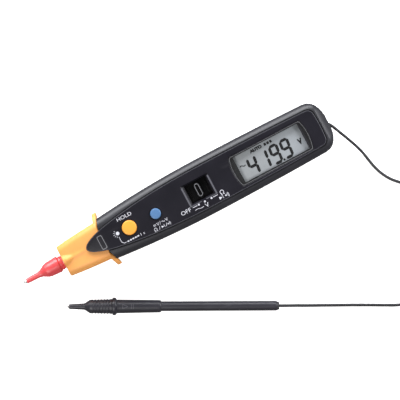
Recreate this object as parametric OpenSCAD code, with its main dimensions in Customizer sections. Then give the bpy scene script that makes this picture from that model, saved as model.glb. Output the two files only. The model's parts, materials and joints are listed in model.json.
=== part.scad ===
// Pen multimeter: a pencil-shaped meter with a display, two buttons, a slide switch and a capped test point,
// joined by a thin cord to a second, capped test probe. It lies on its back, face up.
// +X runs from the test point to the display end, and +Z leaves the face.
// The origin is under the meter's middle, on the surface that it lies on.

/* [Test point] */
// Bare metal in front of the cap
tip_show = 1.5; // [1:0.1:4]
// Diameter of the metal pin
pin_diameter = 2; // [1.4:0.1:2.6]
// Length of the pin's ground point
pin_point_length = 1.2; // [0.8:0.1:2]
// Height of the pin's axis over the back, as a share of the case's height
pin_share = 0.3785; // [0.34:0.0005:0.42]
// Length of the cap's thin front
cap_thin_length = 7.5; // [5:0.5:10]
// Diameter of the cap's thin front
cap_thin_diameter = 3; // [2.6:0.1:3.6]
// Length of the cap's cone
cap_cone_length = 6; // [4:0.5:8]
// Length of the cap's body
cap_body_length = 6.3; // [5:0.1:9]
// How much wider the cap's body is at its rear than the collar
cap_flare = 1.2; // [0.6:0.1:2]
// How much the cap's body narrows towards its cone
cap_taper = 0.8; // [0.2:0.1:1.2]
// Length of the fixed collar that shows behind the cap
collar_show = 2.7; // [1.5:0.1:4]
// Diameter of the fixed collar, as a share of the case's height
collar_share = 0.3028; // [0.26:0.001:0.335]
// Depth of the collar's spigot inside the cap
cap_socket_depth = 4.4; // [3:0.1:5]

/* [Nose guard] */
// Length of the nose guard with its flange
nose_length = 26; // [22:0.5:32]
// Width of the nose guard at its front, as a share of the case's width
nose_front_share = 0.5767; // [0.5:0.001:0.63]
// Width of the nose guard at its flange, as a share of the case's width
nose_rear_share = 0.7133; // [0.64:0.001:0.76]
// Height of the nose guard's underside over the back, at its front, as a share of the case's height
nose_rise_share = 0.1275; // [0.11:0.0005:0.14]
// Height of the nose guard at its front, as a share of the case's height
nose_height_share = 0.5578; // [0.52:0.0005:0.61]
// Radius of the nose guard's long edges
nose_edge_radius = 3.6; // [2:0.1:5]
// Thickness of the nose guard's front wall
nose_wall = 2.5; // [1.5:0.1:3.5]
// How far the finger flange stands out past the case's widest place
flange_overhang = 0.2; // [-0.5:0.1:1.6]
// Thickness of the finger flange
flange_thickness = 2.3; // [1.6:0.1:3]
// How far the flange sweeps back from root to rim
flange_sweep = 1.8; // [0.5:0.1:3]
// Diameter of the lamp in the nose
lamp_diameter = 3; // [2:0.1:3.2]

/* [Case] */
// Length of the case behind the flange
case_length = 132; // [118:1:160]
// Width of the case at its widest
case_width = 30; // [29:0.5:36]
// How much narrower the case is at its front edge
front_narrowing = 6.4; // [4:0.2:8]
// How much narrower the case is where its rear corners start
rear_narrowing = 1.8; // [0:0.1:3]
// Distance from the front edge to the widest place, as a share of the case's length
widest_share = 0.4545; // [0.35:0.0005:0.55]
// Height of the shoulders over the back
case_height = 25.1; // [24:0.1:30]
// Rise of the back at the front edge
back_rise = 2.8; // [1:0.1:3.4]
// Length over which the back rises
back_rise_length = 36; // [25:1:45]
// Radius of the long edges at the back
back_edge_radius = 9; // [6:0.5:10]
// Radius of the long edges at the shoulders
shoulder_radius = 4.5; // [3:0.1:5.5]
// Length of the rounded rear end
end_round_length = 8.5; // [6:0.5:11]
// Thickness of the case's walls
wall = 1.8; // [1.4:0.1:2.2]
// Height of the parting plane over the back, as a share of the case's height
parting_share = 0.3984; // [0.36:0.0004:0.44]
// Length of the neck that plugs into the nose guard
neck_length = 8.5; // [6:0.5:9]
// Width of that neck, as a share of the nose guard's front width
neck_share = 0.89; // [0.8:0.005:0.92]
// Thickness of that neck's walls
neck_wall = 1.4; // [1:0.1:1.8]

/* [Face panel] */
// Thickness of the face panel
panel_thickness = 1.5; // [1.2:0.1:1.8]
// How far the panel stands over the shoulders
panel_proud = 0.4; // [0.2:0.1:0.8]
// Width of the panel where it leaves the case, as a share of the case's front width
panel_front_share = 0.5254; // [0.46:0.0002:0.6]
// Distance from the case's side to the panel's edge
shoulder_margin = 3.75; // [3.4:0.05:4.5]
// Distance from the case's rear end to the panel's rear edge
rear_margin = 5.2; // [4.5:0.1:7]
// Length of the pointed tongue over the nose guard
tongue_length = 12; // [9:0.5:14]
// Drop of the tongue along its length
tongue_drop = 2.5; // [1.5:0.1:3]
// Width of the groove round the panel
groove = 0.6; // [0.3:0.1:0.8]

/* [Display] */
// Room between the display's holder and the screw bosses
holder_room = 0.9; // [0.3:0.1:3]
// Sideways offset of the display's middle
display_offset = -1; // [-1.4:0.1:0]
// How much longer the clear lens is than the visible area
lens_length_margin = 6.1; // [3:0.1:8]
// How much wider the clear lens is than the visible area
lens_width_margin = 2; // [1:0.1:2.6]
// Radius of the lens's bowed ends
lens_end_radius = 26; // [20:1:60]
// Thickness of the lens
lens_thickness = 1.2; // [0.8:0.1:1.4]
// Length of the liquid crystal's visible area, as a share of the case's length
view_share = 0.2917; // [0.25:0.0001:0.3]
// Distance from the case's side to the liquid crystal's visible area
view_margin = 7.5; // [7.5:0.1:9]
// Thickness of the two glass sheets together
glass_thickness = 2.2; // [1.6:0.1:2.6]
// Margin of the glass round its visible area
glass_margin = 1.7; // [1.4:0.1:2]
// Thickness of the display holder's walls
holder_wall = 1; // [0.8:0.1:1.3]
// Width of each rubber contact strip
strip_width = 2; // [1.6:0.1:2.4]

/* [Buttons] */
// Distance from the case's front edge to the hold button, as a share of the case's length
hold_share = 0.1015; // [0.098:0.0005:0.11]
// Diameter of the hold button
hold_diameter = 7.8; // [6.4:0.1:8.4]
// Distance from the case's front edge to the select button, as a share of the case's length
select_share = 0.2197; // [0.205:0.0001:0.235]
// Diameter of the select button
select_diameter = 5.7; // [4.8:0.1:6.8]
// Sideways offset of both buttons
button_offset = -0.5; // [-1:0.1:0]
// How far the buttons stand over the face
button_proud = 1; // [0.9:0.1:1.4]
// Travel of the buttons
button_travel = 0.8; // [0.4:0.1:0.85]
// Thickness of each button's retaining flange
button_flange = 1.2; // [0.8:0.1:1.4]
// Width of that flange round the button
button_lip = 1; // [0.7:0.1:1.2]
// Side of each square key switch on the board
key_side = 6; // [5:0.1:6.6]
// Room between each key switch and its pressed button
key_room = 0.6; // [0.2:0.1:1]
// Diameter of each key switch's plunger
key_plunger_diameter = 3.4; // [2.6:0.1:4]

/* [Slide switch] */
// Distance from the case's front edge to the switch's middle position, as a share of the case's length
switch_share = 0.4152; // [0.41:0.0001:0.424]
// Travel of the switch from its middle to either end
switch_travel = 3.75; // [3:0.05:3.9]
// Length of the switch's window
window_length = 12.6; // [12:0.1:13]
// Width of the switch's window
window_width = 10.2; // [9.4:0.1:10.6]
// Width of the bevel along the window's ends
window_bevel = 1.6; // [1:0.1:2]
// Length of the thumb ridge across the slide
ridge_length = 7.8; // [6.6:0.1:8.4]
// Width of the thumb ridge
ridge_width = 3.1; // [2.4:0.1:3.6]
// Thickness of the slide's plate
slide_thickness = 1.5; // [1.2:0.1:1.8]

/* [Circuit board] */
// Height of the board's upper side over the back, as a share of the case's height
board_share = 0.6215; // [0.61:0.0005:0.64]
// Thickness of the board
board_thickness = 1.6; // [1.2:0.1:2]
// Distance from the case's front edge to the board's front
board_start = 7; // [6:0.5:8]
// Diameter of the posts that hold the board
post_diameter = 3.2; // [2.6:0.1:3.4]
// Thickness of the ribs under the board
rib_thickness = 1.5; // [1.2:0.1:2]

/* [Battery] */
// Distance from the case's front edge to the coin cell's middle, as a share of the case's length
cell_share = 0.5; // [0.49:0.005:0.515]
// Distance from the coin cell to the case's sides
cell_margin = 5; // [5:0.1:6]
// Thickness of the coin cell
cell_thickness = 3.2; // [2.5:0.1:3.4]
// Thickness of the cell holder's ring
cell_ring = 1; // [0.8:0.1:1.1]
// How far the battery cover reaches ahead of the coin cell
cover_ahead = 10.5; // [10:0.5:13]
// How far the battery cover reaches behind the coin cell
cover_behind = 2.5; // [2:0.1:3]
// Distance from the battery cover to the case's sides
cover_margin = 4; // [3.5:0.1:4.3]

/* [Screws] */
// Shank diameter of the screws
screw_diameter = 1.9; // [1.6:0.1:2.2]
// Head diameter of the screws
screw_head_diameter = 3.6; // [3.2:0.1:4]
// Head height of the screws
screw_head_height = 1; // [0.8:0.1:1]
// Length of the case screws under the head
case_screw_length = 9; // [7:0.5:11]
// Distance from the case's rear end to the case screws
screw_from_end = 9; // [8.5:0.5:9.5]
// Distance of each case screw from the middle plane, as a share of the case's width
spread_share = 0.25; // [0.225:0.005:0.265]
// Diameter of the screw bosses
boss_diameter = 5.5; // [5:0.1:6]

/* [Lead] */
// Diameter of the cord
cord_diameter = 1.6; // [1.4:0.1:2]
// Turns of cord in the coil
coil_turns = 9; // [7:1:9]
// Radius of the coil at the middle of its turns
coil_radius = 9.5; // [9:0.1:10]
// Length of the lead's bare pin in front of its cap
lead_tip_show = 1; // [0.8:0.1:3]
// Length of the lead cap's thin front
lead_cap_thin_length = 8.2; // [6:0.1:10]
// Length of the lead cap's cone
lead_cap_cone_length = 2.9; // [2:0.1:4]
// Length of the lead cap's body
lead_cap_body_length = 12; // [9:0.1:14]
// Diameter of the lead cap's body
lead_cap_diameter = 8; // [7.4:0.1:9]
// Diameter of the lead's finger guard
lead_guard_diameter = 9.4; // [8.6:0.1:11]
// Thickness of the lead's finger guard
lead_guard_thickness = 1.9; // [1.2:0.1:2.6]
// Length of the lead's handle behind its finger guard
lead_handle_length = 24; // [18:0.5:30]
// Diameter of the handle at its front
lead_handle_diameter = 7.3; // [6.8:0.1:8]
// Diameter of the handle at its rear
lead_handle_rear_diameter = 6.6; // [6.2:0.1:7]
// Length of the slim sleeve behind the handle
lead_sleeve_length = 61.8; // [50:0.1:72]
// Diameter of the slim sleeve
lead_sleeve_diameter = 5.2; // [4.6:0.1:5.6]

/* [Hidden] */
$fn = 64;
// Overrun of every cut
over = 0.5;
// Clearance between pieces that touch but don't slide
gap = 0.1;
// Clearance round pieces that slide
run_gap = 0.2;
// Side clearance of the nose guard's socket and of the battery cover
seat_gap = 0.15;

// Sizes that follow from the case's
pin_height = case_height * pin_share;
collar_diameter = case_height * collar_share;
cap_diameter = collar_diameter + cap_flare;
nose_front_width = case_width * nose_front_share;
nose_rear_width = case_width * nose_rear_share;
nose_front_rise = case_height * nose_rise_share;
nose_front_height = case_height * nose_height_share;
flange_width = case_width + 2 * flange_overhang;
case_front_width = case_width - front_narrowing;
case_rear_width = case_width - rear_narrowing;
widest_at = case_length * widest_share;
parting_height = case_height * parting_share;
neck_width = nose_front_width * neck_share;
neck_height = nose_front_height;
neck_mid_share = 0.4622;
panel_front_width = case_front_width * panel_front_share;
view_length = case_length * view_share;
view_width = case_width - 2 * view_margin;
lens_length = view_length + lens_length_margin;
lens_width = view_width + lens_width_margin;
cell_diameter = case_width - 2 * cell_margin;
cover_width = case_width - 2 * cover_margin;
cover_length = cell_diameter + cover_ahead + cover_behind;
screw_spread = case_width * spread_share;

// Places along the meter
cap_length = cap_thin_length + cap_cone_length + cap_body_length;
meter_length = tip_show + cap_length + collar_show + nose_length + case_length;
tip_x = -meter_length / 2;
cap_x = tip_x + tip_show;
collar_x = cap_x + cap_length;
nose_x = collar_x + collar_show;
case_x = nose_x + nose_length;
end_x = case_x + case_length;

// Levels over the back
seat_z = case_height + panel_proud - panel_thickness;
face_z = seat_z + panel_thickness;
plate_z = seat_z - wall;
glass_top_z = plate_z - gap;
glass_z = glass_top_z - glass_thickness;
board_top_z = case_height * board_share;
board_z = board_top_z - board_thickness;
neck_mid_z = case_height * neck_mid_share;
neck_z = neck_mid_z - neck_height / 2;
lamp_lead_radius = 0.3;
lamp_z = board_top_z + gap + lamp_lead_radius;

// Number of segments in each quarter of a section, and the shares of the end's rounding that get a section
quarter = 8;
inner_quarter = 3;
end_power = 2.3;
end_reach = 0.97;
end_shares = [0.3, 0.55, 0.75, 0.88, 0.96, 1];
straight_steps = 16;
inner_steps = 7;

// Colours
shell_black = [0.17, 0.17, 0.19];
panel_black = [0.1, 0.1, 0.12];
soft_orange = [0.95, 0.66, 0.36];
probe_red = [0.86, 0.3, 0.29];
steel_grey = [0.7, 0.71, 0.73];
brass_gold = [0.78, 0.65, 0.36];
board_green = [0.1, 0.36, 0.24];
chip_black = [0.08, 0.08, 0.09];
cord_black = [0.13, 0.13, 0.14];

// Half width of the case at a distance behind its front edge
function half_at(d) = case_width / 2 - (d < widest_at
  ? (case_width - case_front_width) / 2 * pow((widest_at - d) / widest_at, 2)
  : (case_width - case_rear_width) / 2
    * pow((d - widest_at) / (case_length - end_round_length - widest_at), 2));

// Rise of the case's back at a distance behind its front edge
function rise_at(d) = back_rise * pow(max(0, 1 - d / back_rise_length), 2);

// Points round one section: half width, lowest and highest level, lower and upper edge radius
function section(half, low, high, low_radius, high_radius, n) = [
  for (i = [0:3], k = [0:n])
    let(a = 90 * (i - 1 + k / n), down = i == 0 || i == 3, r = down ? low_radius : high_radius)
      [(i < 2 ? 1 : -1) * (half - r) + r * cos(a), (down ? low + r : high - r) + r * sin(a)]
];
function at_x(x, outline) = [for (p = outline) [x, p[0], p[1]]];

// Closed skin over a row of rings that run counterclockwise as seen from its far end
module loft(rings) {
  m = len(rings[0]);
  last = (len(rings) - 1) * m;
  sides = [
    for (j = [0:len(rings) - 2], i = [0:m - 1])
      let(a = j * m + i, b = j * m + (i + 1) % m)
        each [[a, a + m, b + m], [a, b + m, b]]
  ];
  polyhedron(
    points = [for (r = rings) each r],
    faces = concat([[for (i = [0:m - 1]) i]], [[for (i = [m - 1:-1:0]) last + i]], sides)
  );
}

// Prism along the meter with a rounded section, and one with a side view
module beam(x, length, outline) translate([x, 0, 0]) rotate([90, 0, 90]) linear_extrude(length)
  polygon(outline);
module side_slab(width, outline) translate([0, width / 2, 0]) rotate([90, 0, 0]) linear_extrude(width)
  polygon(outline);
// Box between two corners
module block(low, high) translate(low) cube(high - low);
// Round bar along the meter, from one radius to another, and one of one radius
module bar(x, length, start, end) translate([x, 0, 0]) rotate([0, 90, 0])
  cylinder(h = length, r1 = start, r2 = end);
module rod(x, length, r) bar(x, length, r, r);
module stadium(length, width) {
  square([length - width, width], center = true);
  for (side = [-1, 1]) translate([side * (length - width) / 2, 0]) circle(d = width);
}

// Case: the stations of its skin, the shrinking towards its rear end, and its cavity
front_x = case_x - flange_sweep;
round_x = end_x - end_round_length;
cavity_x = case_x + wall;
cavity_end_x = end_x - 2.8 * wall;
height_reach = 0.9;
function shrink(share, reach) = pow(1 - pow(share * reach, end_power), 1 / end_power);
function wide_at(x) = shrink(max(0, x - round_x) / end_round_length, end_reach);
function high_at(x) = shrink(max(0, x - end_x + rear_margin) / rear_margin, height_reach);
function case_section(x) = let(
    low = rise_at(x - case_x),
    lift = (case_height - low) / 2 * (1 - high_at(x)),
    wide = wide_at(x)
  ) section(half_at(x - case_x) * wide, low + lift, case_height - lift,
    back_edge_radius * wide, shoulder_radius * wide, quarter);
case_stations = concat(
  [for (k = [0:straight_steps - 1]) front_x + (round_x - front_x) * k / straight_steps],
  [round_x],
  [for (s = end_shares) round_x + end_round_length * s]
);
module case_skin() loft([for (x = case_stations) at_x(x, case_section(x))]);
cavity_stations = concat(
  [for (k = [0:inner_steps]) cavity_x + (round_x - cavity_x) * k / inner_steps],
  [(round_x + cavity_end_x) / 2, cavity_end_x]
);
module case_cavity() loft([
  for (x = cavity_stations) at_x(x, section(
    half_at(x - case_x) * wide_at(x) - wall, rise_at(x - case_x) + wall, plate_z,
    back_edge_radius - wall, wall * 2 / 3, inner_quarter
  ))
]);

// Rear face of the finger flange, seen from above, moved along the meter
flange_slope = 2 * flange_sweep / (case_front_width - panel_front_width);
function flange_line(shift, reach) = [
  for (y = [-reach, -panel_front_width / 2, panel_front_width / 2, reach])
    [front_x + shift + flange_slope * max(0, abs(y) - panel_front_width / 2), y]
];
module ahead_of_case() translate([0, 0, -over]) linear_extrude(case_height + 2 * over) polygon(concat(
  flange_line(gap, flange_width), [[front_x - wall, flange_width], [front_x - wall, -flange_width]]
));

// Neck that plugs into the nose guard
neck_x = front_x - neck_length;
neck_radius = 2 * neck_wall;
module neck_outer() beam(neck_x, neck_length + 2 * wall,
  section(neck_width / 2, neck_z, neck_z + neck_height, neck_radius, neck_radius, inner_quarter));
module neck_bore() {
  beam(neck_x + neck_wall, cavity_x - neck_x, section(neck_width / 2 - neck_wall, neck_z + neck_wall,
    neck_z + neck_height - neck_wall, neck_radius - neck_wall / 2, neck_radius - neck_wall / 2,
    inner_quarter));
  translate([0, 0, pin_height]) rod(neck_x - over, 2 * neck_wall, pin_diameter / 2 + gap);
  lamp_lead_places() rod(neck_x - over, 2 * neck_wall, lamp_lead_radius + gap);
}
module case_shell() difference() {
  union() {
    difference() {
      case_skin();
      ahead_of_case();
    }
    neck_outer();
  }
  case_cavity();
  neck_bore();
}

// Panel: its outline seen from above, grown by a margin
panel_rear_x = end_x - rear_margin;
tongue_x = case_x - tongue_length;
panel_corner_radius = 3.5;
panel_steps = 14;
tongue_steps = 8;
corner_steps = 8;
front_margin = (case_front_width - panel_front_width) / 2;
margin_power = 3;
function panel_half_at(x) = half_at(x - case_x) - shoulder_margin
  - (front_margin - shoulder_margin) * pow(max(0, 1 - (x - case_x) / widest_at), margin_power);
function panel_edge(grow) = let(
    rear = panel_rear_x - panel_corner_radius,
    r = panel_corner_radius + grow,
    half = panel_half_at(rear) + grow
  ) concat(
    [for (k = [0:tongue_steps - 1]) let(s = k / tongue_steps)
      [tongue_x - grow + (tongue_length + grow) * s * s, (panel_front_width / 2 + grow) * s]],
    [for (k = [0:panel_steps]) let(x = case_x + (rear - case_x) * k / panel_steps)
      [x, panel_half_at(x) + grow]],
    [for (k = [1:corner_steps]) let(a = 90 - 90 * k / corner_steps)
      [rear + r * cos(a), half - r + r * sin(a)]],
    [[panel_rear_x + grow + 3 * gap, 0]]
  );
function panel_outline(grow) = let(edge = panel_edge(grow), n = len(edge)) concat(
  [for (k = [n - 2:-1:1]) [edge[k][0], -edge[k][1]]],
  edge
);
tongue_slope = tongue_drop / (front_x - tongue_x);
function tongue_level(z) = z - tongue_slope * (front_x - tongue_x + over);
module panel_slab(low, high) side_slab(case_width, [
  [tongue_x - over, tongue_level(low)], [front_x, low], [end_x, low],
  [end_x, high], [front_x, high], [tongue_x - over, tongue_level(high)]
]);

// Places on the face
case_screw_x = end_x - screw_from_end;
glass_length = view_length + 2 * glass_margin;
glass_width = view_width + 2 * glass_margin;
display_x = case_screw_x - boss_diameter / 2 - holder_room - holder_wall - gap - glass_length / 2;
hold_x = case_x + case_length * hold_share;
select_x = case_x + case_length * select_share;
switch_x = case_x + case_length * switch_share;
module at_display(z) translate([display_x, display_offset, z]) children();
module at_hold(z) translate([hold_x, button_offset, z]) children();
module at_select(z) translate([select_x, button_offset, z]) children();
module at_switch(z) translate([switch_x, 0, z]) children();
module lens_shape(grow) intersection() {
  square([lens_length + 2 * grow, lens_width + 2 * grow], center = true);
  for (side = [-1, 1]) translate([side * (lens_end_radius - lens_length / 2), 0])
    circle(r = lens_end_radius + grow);
}
// Both round holes through the face and the plate under it
module button_holes(z, height) {
  at_hold(z) cylinder(h = height, d = hold_diameter + 2 * run_gap);
  at_select(z) cylinder(h = height, d = select_diameter + 2 * run_gap);
}

// Bosses, posts and ribs inside the case
case_screw_bite = 5;
case_screw_seat = parting_height + case_screw_bite - case_screw_length;
thread_gap = 0.05;
post_offset = case_width * 0.2833;
post_shares = [0.16, 0.29, 0.527];
rib_width = case_width * 0.3;
rib_shares = [0.085, 0.25];
rib_room = 2;
cell_x = case_x + case_length * cell_share;
cover_rear_x = cell_x + cell_diameter / 2 + cover_behind;
tail_x = case_screw_x - boss_diameter * 1.6;
cover_rib_room = 5.45;
rib_places = concat(
  [for (s = rib_shares) case_x + case_length * s],
  [cover_rear_x + cover_rib_room, tail_x - rib_room]
);
module screw_places() for (side = [-1, 1]) translate([case_screw_x, side * screw_spread, 0]) children();
module post_places() for (s = post_shares, side = [-1, 1])
  translate([case_x + case_length * s, side * post_offset, 0]) children();

// Slide of the function switch
slide_lip = 0.9;
slide_half = window_width / 2 + slide_lip;
slide_length = window_length + 2 * switch_travel + 2 * slide_lip;
slide_top_z = plate_z - gap;
slide_z = slide_top_z - slide_thickness;
guide_thickness = 1;
wiper_room = 1.8;
wiper_z = board_top_z + wiper_room;

// Cord: its way out at the rear end, and the recess round it
cord_y = -1;
cord_radius = cord_diameter / 2;
bush_depth = 2.2;
bush_front_x = end_x - bush_depth;
bush_wall = 0.9;
bush_flange = 1;
recess_radius = 2.6;
module at_cord() translate([0, cord_y, parting_height]) children();
module cord_way() at_cord() {
  rod(cavity_end_x - over, end_x - cavity_end_x + 2 * over, cord_radius + bush_wall);
  bar(bush_front_x, end_x - bush_front_x + over, cord_radius + bush_wall, recess_radius + over);
}

module upper_case() color(shell_black) difference() {
  union() {
    intersection() {
      case_shell();
      block([neck_x - over, -case_width, parting_height], [end_x + over, case_width, case_height + over]);
    }
    screw_places() translate([0, 0, parting_height])
      cylinder(h = plate_z + wall / 2 - parting_height, d = boss_diameter);
    post_places() translate([0, 0, board_top_z])
      cylinder(h = plate_z + wall / 2 - board_top_z, d = post_diameter);
    for (side = [-1, 1]) at_switch(0) translate([0, side * (slide_half + run_gap + guide_thickness / 2), 0])
      centred(slide_length, guide_thickness, slide_z, plate_z + wall / 2);
  }
  translate([0, 0, seat_z]) linear_extrude(case_height) polygon(panel_outline(groove));
  at_display(plate_z - over) linear_extrude(wall + 2 * over) square([view_length, view_width], center = true);
  at_switch(plate_z - over) linear_extrude(wall + 2 * over)
    square([window_length, window_width], center = true);
  button_holes(plate_z - over, wall + 2 * over);
  screw_places() translate([0, 0, parting_height - over])
    cylinder(h = case_screw_bite + 2 * over, d = screw_diameter + 2 * thread_gap);
  cord_way();
}

// Battery cover: its place, and the bridge that its screw bites into
cell_lift = 0.6;
cell_z = 1.5 * wall + cell_lift;
cover_front_x = cover_rear_x - cover_length;
cover_screw_x = cover_front_x + 2 * screw_head_diameter / 2;
cover_screw_length = 5;
cover_screw_seat = 1.4;
bridge_thickness = 1.5;
bridge_z = back_edge_radius + gap - sqrt(pow(back_edge_radius - wall, 2)
  - pow(cover_width / 2 - (case_width / 2 - back_edge_radius), 2));
bridge_half = case_width / 2 - wall * 4 / 3;
bridge_rear_x = cover_screw_x + boss_diameter / 2 + bridge_thickness;
cover_boss_top = cover_screw_seat + cover_screw_length + 2 * gap + wall / 2;
module cover_area(grow, height) block(
  [cover_front_x - grow, -cover_width / 2 - grow, -over],
  [cover_rear_x + grow, cover_width / 2 + grow, height]
);

module lower_case() color(shell_black) difference() {
  union() {
    difference() {
      intersection() {
        case_shell();
        block([neck_x - over, -case_width, -over], [end_x + over, case_width, parting_height]);
      }
      cover_area(seat_gap, bridge_z);
    }
    screw_places() translate([0, 0, wall / 2]) cylinder(h = parting_height - wall / 2, d = boss_diameter);
    for (x = rib_places) block(
      [x - rib_thickness / 2, -rib_width / 2, rise_at(x - case_x) + wall / 2],
      [x + rib_thickness / 2, rib_width / 2, board_z]
    );
    block([cover_front_x - 2 * wall, -bridge_half, bridge_z],
      [bridge_rear_x, bridge_half, bridge_z + bridge_thickness]);
    translate([cover_screw_x, 0, bridge_z]) cylinder(h = cover_boss_top - bridge_z, d = boss_diameter);
  }
  screw_places() {
    translate([0, 0, -over]) cylinder(h = parting_height + 2 * over, d = screw_diameter + 2 * run_gap);
    translate([0, 0, -over]) cylinder(h = case_screw_seat + over, d = screw_head_diameter + 2 * run_gap);
  }
  translate([cover_screw_x, 0, bridge_z - over])
    cylinder(h = cover_screw_length + over, d = screw_diameter + 2 * thread_gap);
  cord_way();
}

module battery_cover() color(shell_black) difference() {
  union() {
    difference() {
      intersection() {
        case_skin();
        cover_area(0, bridge_z - gap);
      }
      case_cavity();
    }
    translate([cell_x, 0, wall / 2]) cylinder(h = cell_z - gap - wall / 2, d = cell_diameter / 2);
    translate([cover_screw_x, 0, wall / 2]) cylinder(h = bridge_z - gap - wall / 2, d = boss_diameter);
    translate([cover_rear_x, 0, 0]) side_slab(cover_width * 0.4, [
      [-2 * wall, wall / 2], [-wall / 2, wall / 2], [-wall / 2, wall + gap],
      [wall, wall + gap], [wall, wall * 5 / 3], [-2 * wall, wall * 5 / 3]
    ]);
  }
  translate([cover_screw_x, 0, -over]) {
    cylinder(h = bridge_z + 2 * over, d = screw_diameter + 2 * run_gap);
    cylinder(h = cover_screw_seat + over, d = screw_head_diameter + 2 * run_gap);
  }
}

// Screw with its head down: a crossed recess, the head's underside at the seat
module screw(length) {
  difference() {
    translate([0, 0, -screw_head_height]) cylinder(h = screw_head_height, d = screw_head_diameter);
    for (turn = [0, 90]) rotate([0, 0, turn]) translate([0, 0, -screw_head_height])
      cube([screw_head_diameter * 0.6, screw_head_diameter / 6, screw_head_height], center = true);
  }
  cylinder(h = length, d = screw_diameter);
}
module case_screws() color(steel_grey) screw_places() translate([0, 0, case_screw_seat])
  screw(case_screw_length);
module cover_screw() color(steel_grey) translate([cover_screw_x, 0, cover_screw_seat])
  screw(cover_screw_length);

function window_ring(z, half_length, half_width) = [
  for (c = [[1, -1], [1, 1], [-1, 1], [-1, -1]]) [switch_x + c[0] * half_length, c[1] * half_width, z]
];
module face_panel() color(panel_black) difference() {
  intersection() {
    translate([0, 0, parting_height]) linear_extrude(case_height) polygon(panel_outline(0));
    panel_slab(seat_z, face_z);
  }
  at_display(seat_z - over) linear_extrude(panel_thickness + 2 * over) lens_shape(gap);
  at_switch(seat_z - over) linear_extrude(panel_thickness + 2 * over)
    square([window_length, window_width], center = true);
  loft([
    window_ring(seat_z, window_length / 2, window_width / 2),
    window_ring(face_z + gap, window_length / 2 + window_bevel, window_width / 2 + window_bevel / 2)
  ]);
  button_holes(seat_z - over, panel_thickness + 2 * over);
}

module display_lens() color([0.75, 0.8, 0.85, 0.4]) at_display(seat_z) linear_extrude(lens_thickness)
  lens_shape(0);

// Display under the lens: glass, holder and the strips that join it to the board
strip_length = glass_length - 2 * glass_margin;
strip_offset = glass_width / 2 - strip_width / 2 - gap;
holder_hole_half = strip_offset - strip_width / 2 - gap - holder_wall;
module centred(length, width, low, high) translate([-length / 2, -width / 2, low])
  cube([length, width, high - low]);
module lcd_glass() color([0.62, 0.66, 0.7]) at_display(0)
  centred(glass_length, glass_width, glass_z, glass_top_z);
module contact_strips() color([0.75, 0.5, 0.6]) at_display(0) for (side = [-1, 1])
  translate([0, side * strip_offset, 0]) centred(strip_length, strip_width, board_top_z, glass_z);
module lcd_holder() color([0.9, 0.9, 0.88]) at_display(0) difference() {
  centred(glass_length + 2 * (gap + holder_wall), glass_width + 2 * (gap + holder_wall), board_top_z,
    glass_top_z);
  centred(glass_length + 2 * gap, glass_width + 2 * gap, glass_z, glass_top_z + over);
  for (side = [-1, 1]) translate([0, side * strip_offset, 0])
    centred(strip_length + 2 * gap, strip_width + 2 * gap, board_top_z - over, glass_z + over);
  centred(strip_length, 2 * holder_hole_half, board_top_z - over, glass_z + over);
}

// Circuit board, cut to the case's inside
board_x = case_x + board_start;
board_end_x = case_screw_x - boss_diameter / 2 - 2 * gap;
board_steps = 8;
chip_reach = 1.2;
board_edge = [
  for (k = [0:board_steps]) let(x = board_x + (board_end_x - board_x) * k / board_steps)
    [x, half_at(x - case_x) - wall - 3 * gap]
];
chip_side = 2 * holder_hole_half / chip_reach;
chip_height = 1.8;
module circuit_board() color(board_green) translate([0, 0, board_z]) linear_extrude(board_thickness)
  polygon(concat(board_edge, [for (k = [board_steps:-1:0]) [board_edge[k][0], -board_edge[k][1]]]));
module measuring_chip() color(chip_black) at_display(0) {
  centred(chip_side, chip_side, board_top_z + 2 * gap, board_top_z + chip_height);
  for (turn = [0, 90]) rotate([0, 0, turn]) for (k = [-3:3]) translate([k * chip_side / 8, 0, 0])
    centred(chip_side / 16, chip_side * chip_reach, board_top_z, board_top_z + 4 * gap);
}

// Small parts: a row of resistors, a surge limiter, a crystal and a buzzer
resistor_length = 5;
resistor_diameter = 2.2;
resistor_x = (select_x + switch_x + key_side / 2 - ridge_length / 2 - switch_travel) / 2;
button_span = select_x - hold_x;
limiter_diameter = button_span * 0.449;
limiter_thickness = 3;
limiter_x = hold_x + button_span * 0.154;
crystal_length = 8;
crystal_diameter = 3;
crystal_share = 0.6742;
crystal_x = case_x + case_length * crystal_share;
buzzer_diameter = button_span * 0.77;
buzzer_height = 3.4;
buzzer_x = select_x - button_span * 0.218;
module divider_resistors() color([0.45, 0.62, 0.75]) for (side = [-1, 1], k = [0:2])
  translate([resistor_x + k * 1.5 * resistor_diameter - 1.5 * resistor_diameter,
    side * resistor_length * 0.6 - resistor_length / 2, board_top_z + resistor_diameter / 2])
    rotate([-90, 0, 0]) cylinder(h = resistor_length, d = resistor_diameter);
module surge_limiter() color([0.2, 0.45, 0.7]) {
  translate([limiter_x, -limiter_thickness / 2, board_z - limiter_diameter / 2 - 2 * gap]) rotate([-90, 0, 0])
    cylinder(h = limiter_thickness, d = limiter_diameter);
  for (side = [-1, 1]) translate([limiter_x + side * limiter_diameter / 4, 0, board_z - limiter_diameter / 2])
    cylinder(h = limiter_diameter / 2, r = lamp_lead_radius);
}
module clock_crystal() color(steel_grey) translate([crystal_x, 0, board_z - crystal_diameter / 2])
  rotate([-90, 0, 0]) cylinder(h = crystal_length, d = crystal_diameter);
module buzzer() color(chip_black) translate([buzzer_x, 0, board_z - buzzer_height]) difference() {
  cylinder(h = buzzer_height, d = buzzer_diameter);
  translate([0, 0, -over]) cylinder(h = over + buzzer_height / 3, d = buzzer_diameter / 6);
}

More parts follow.
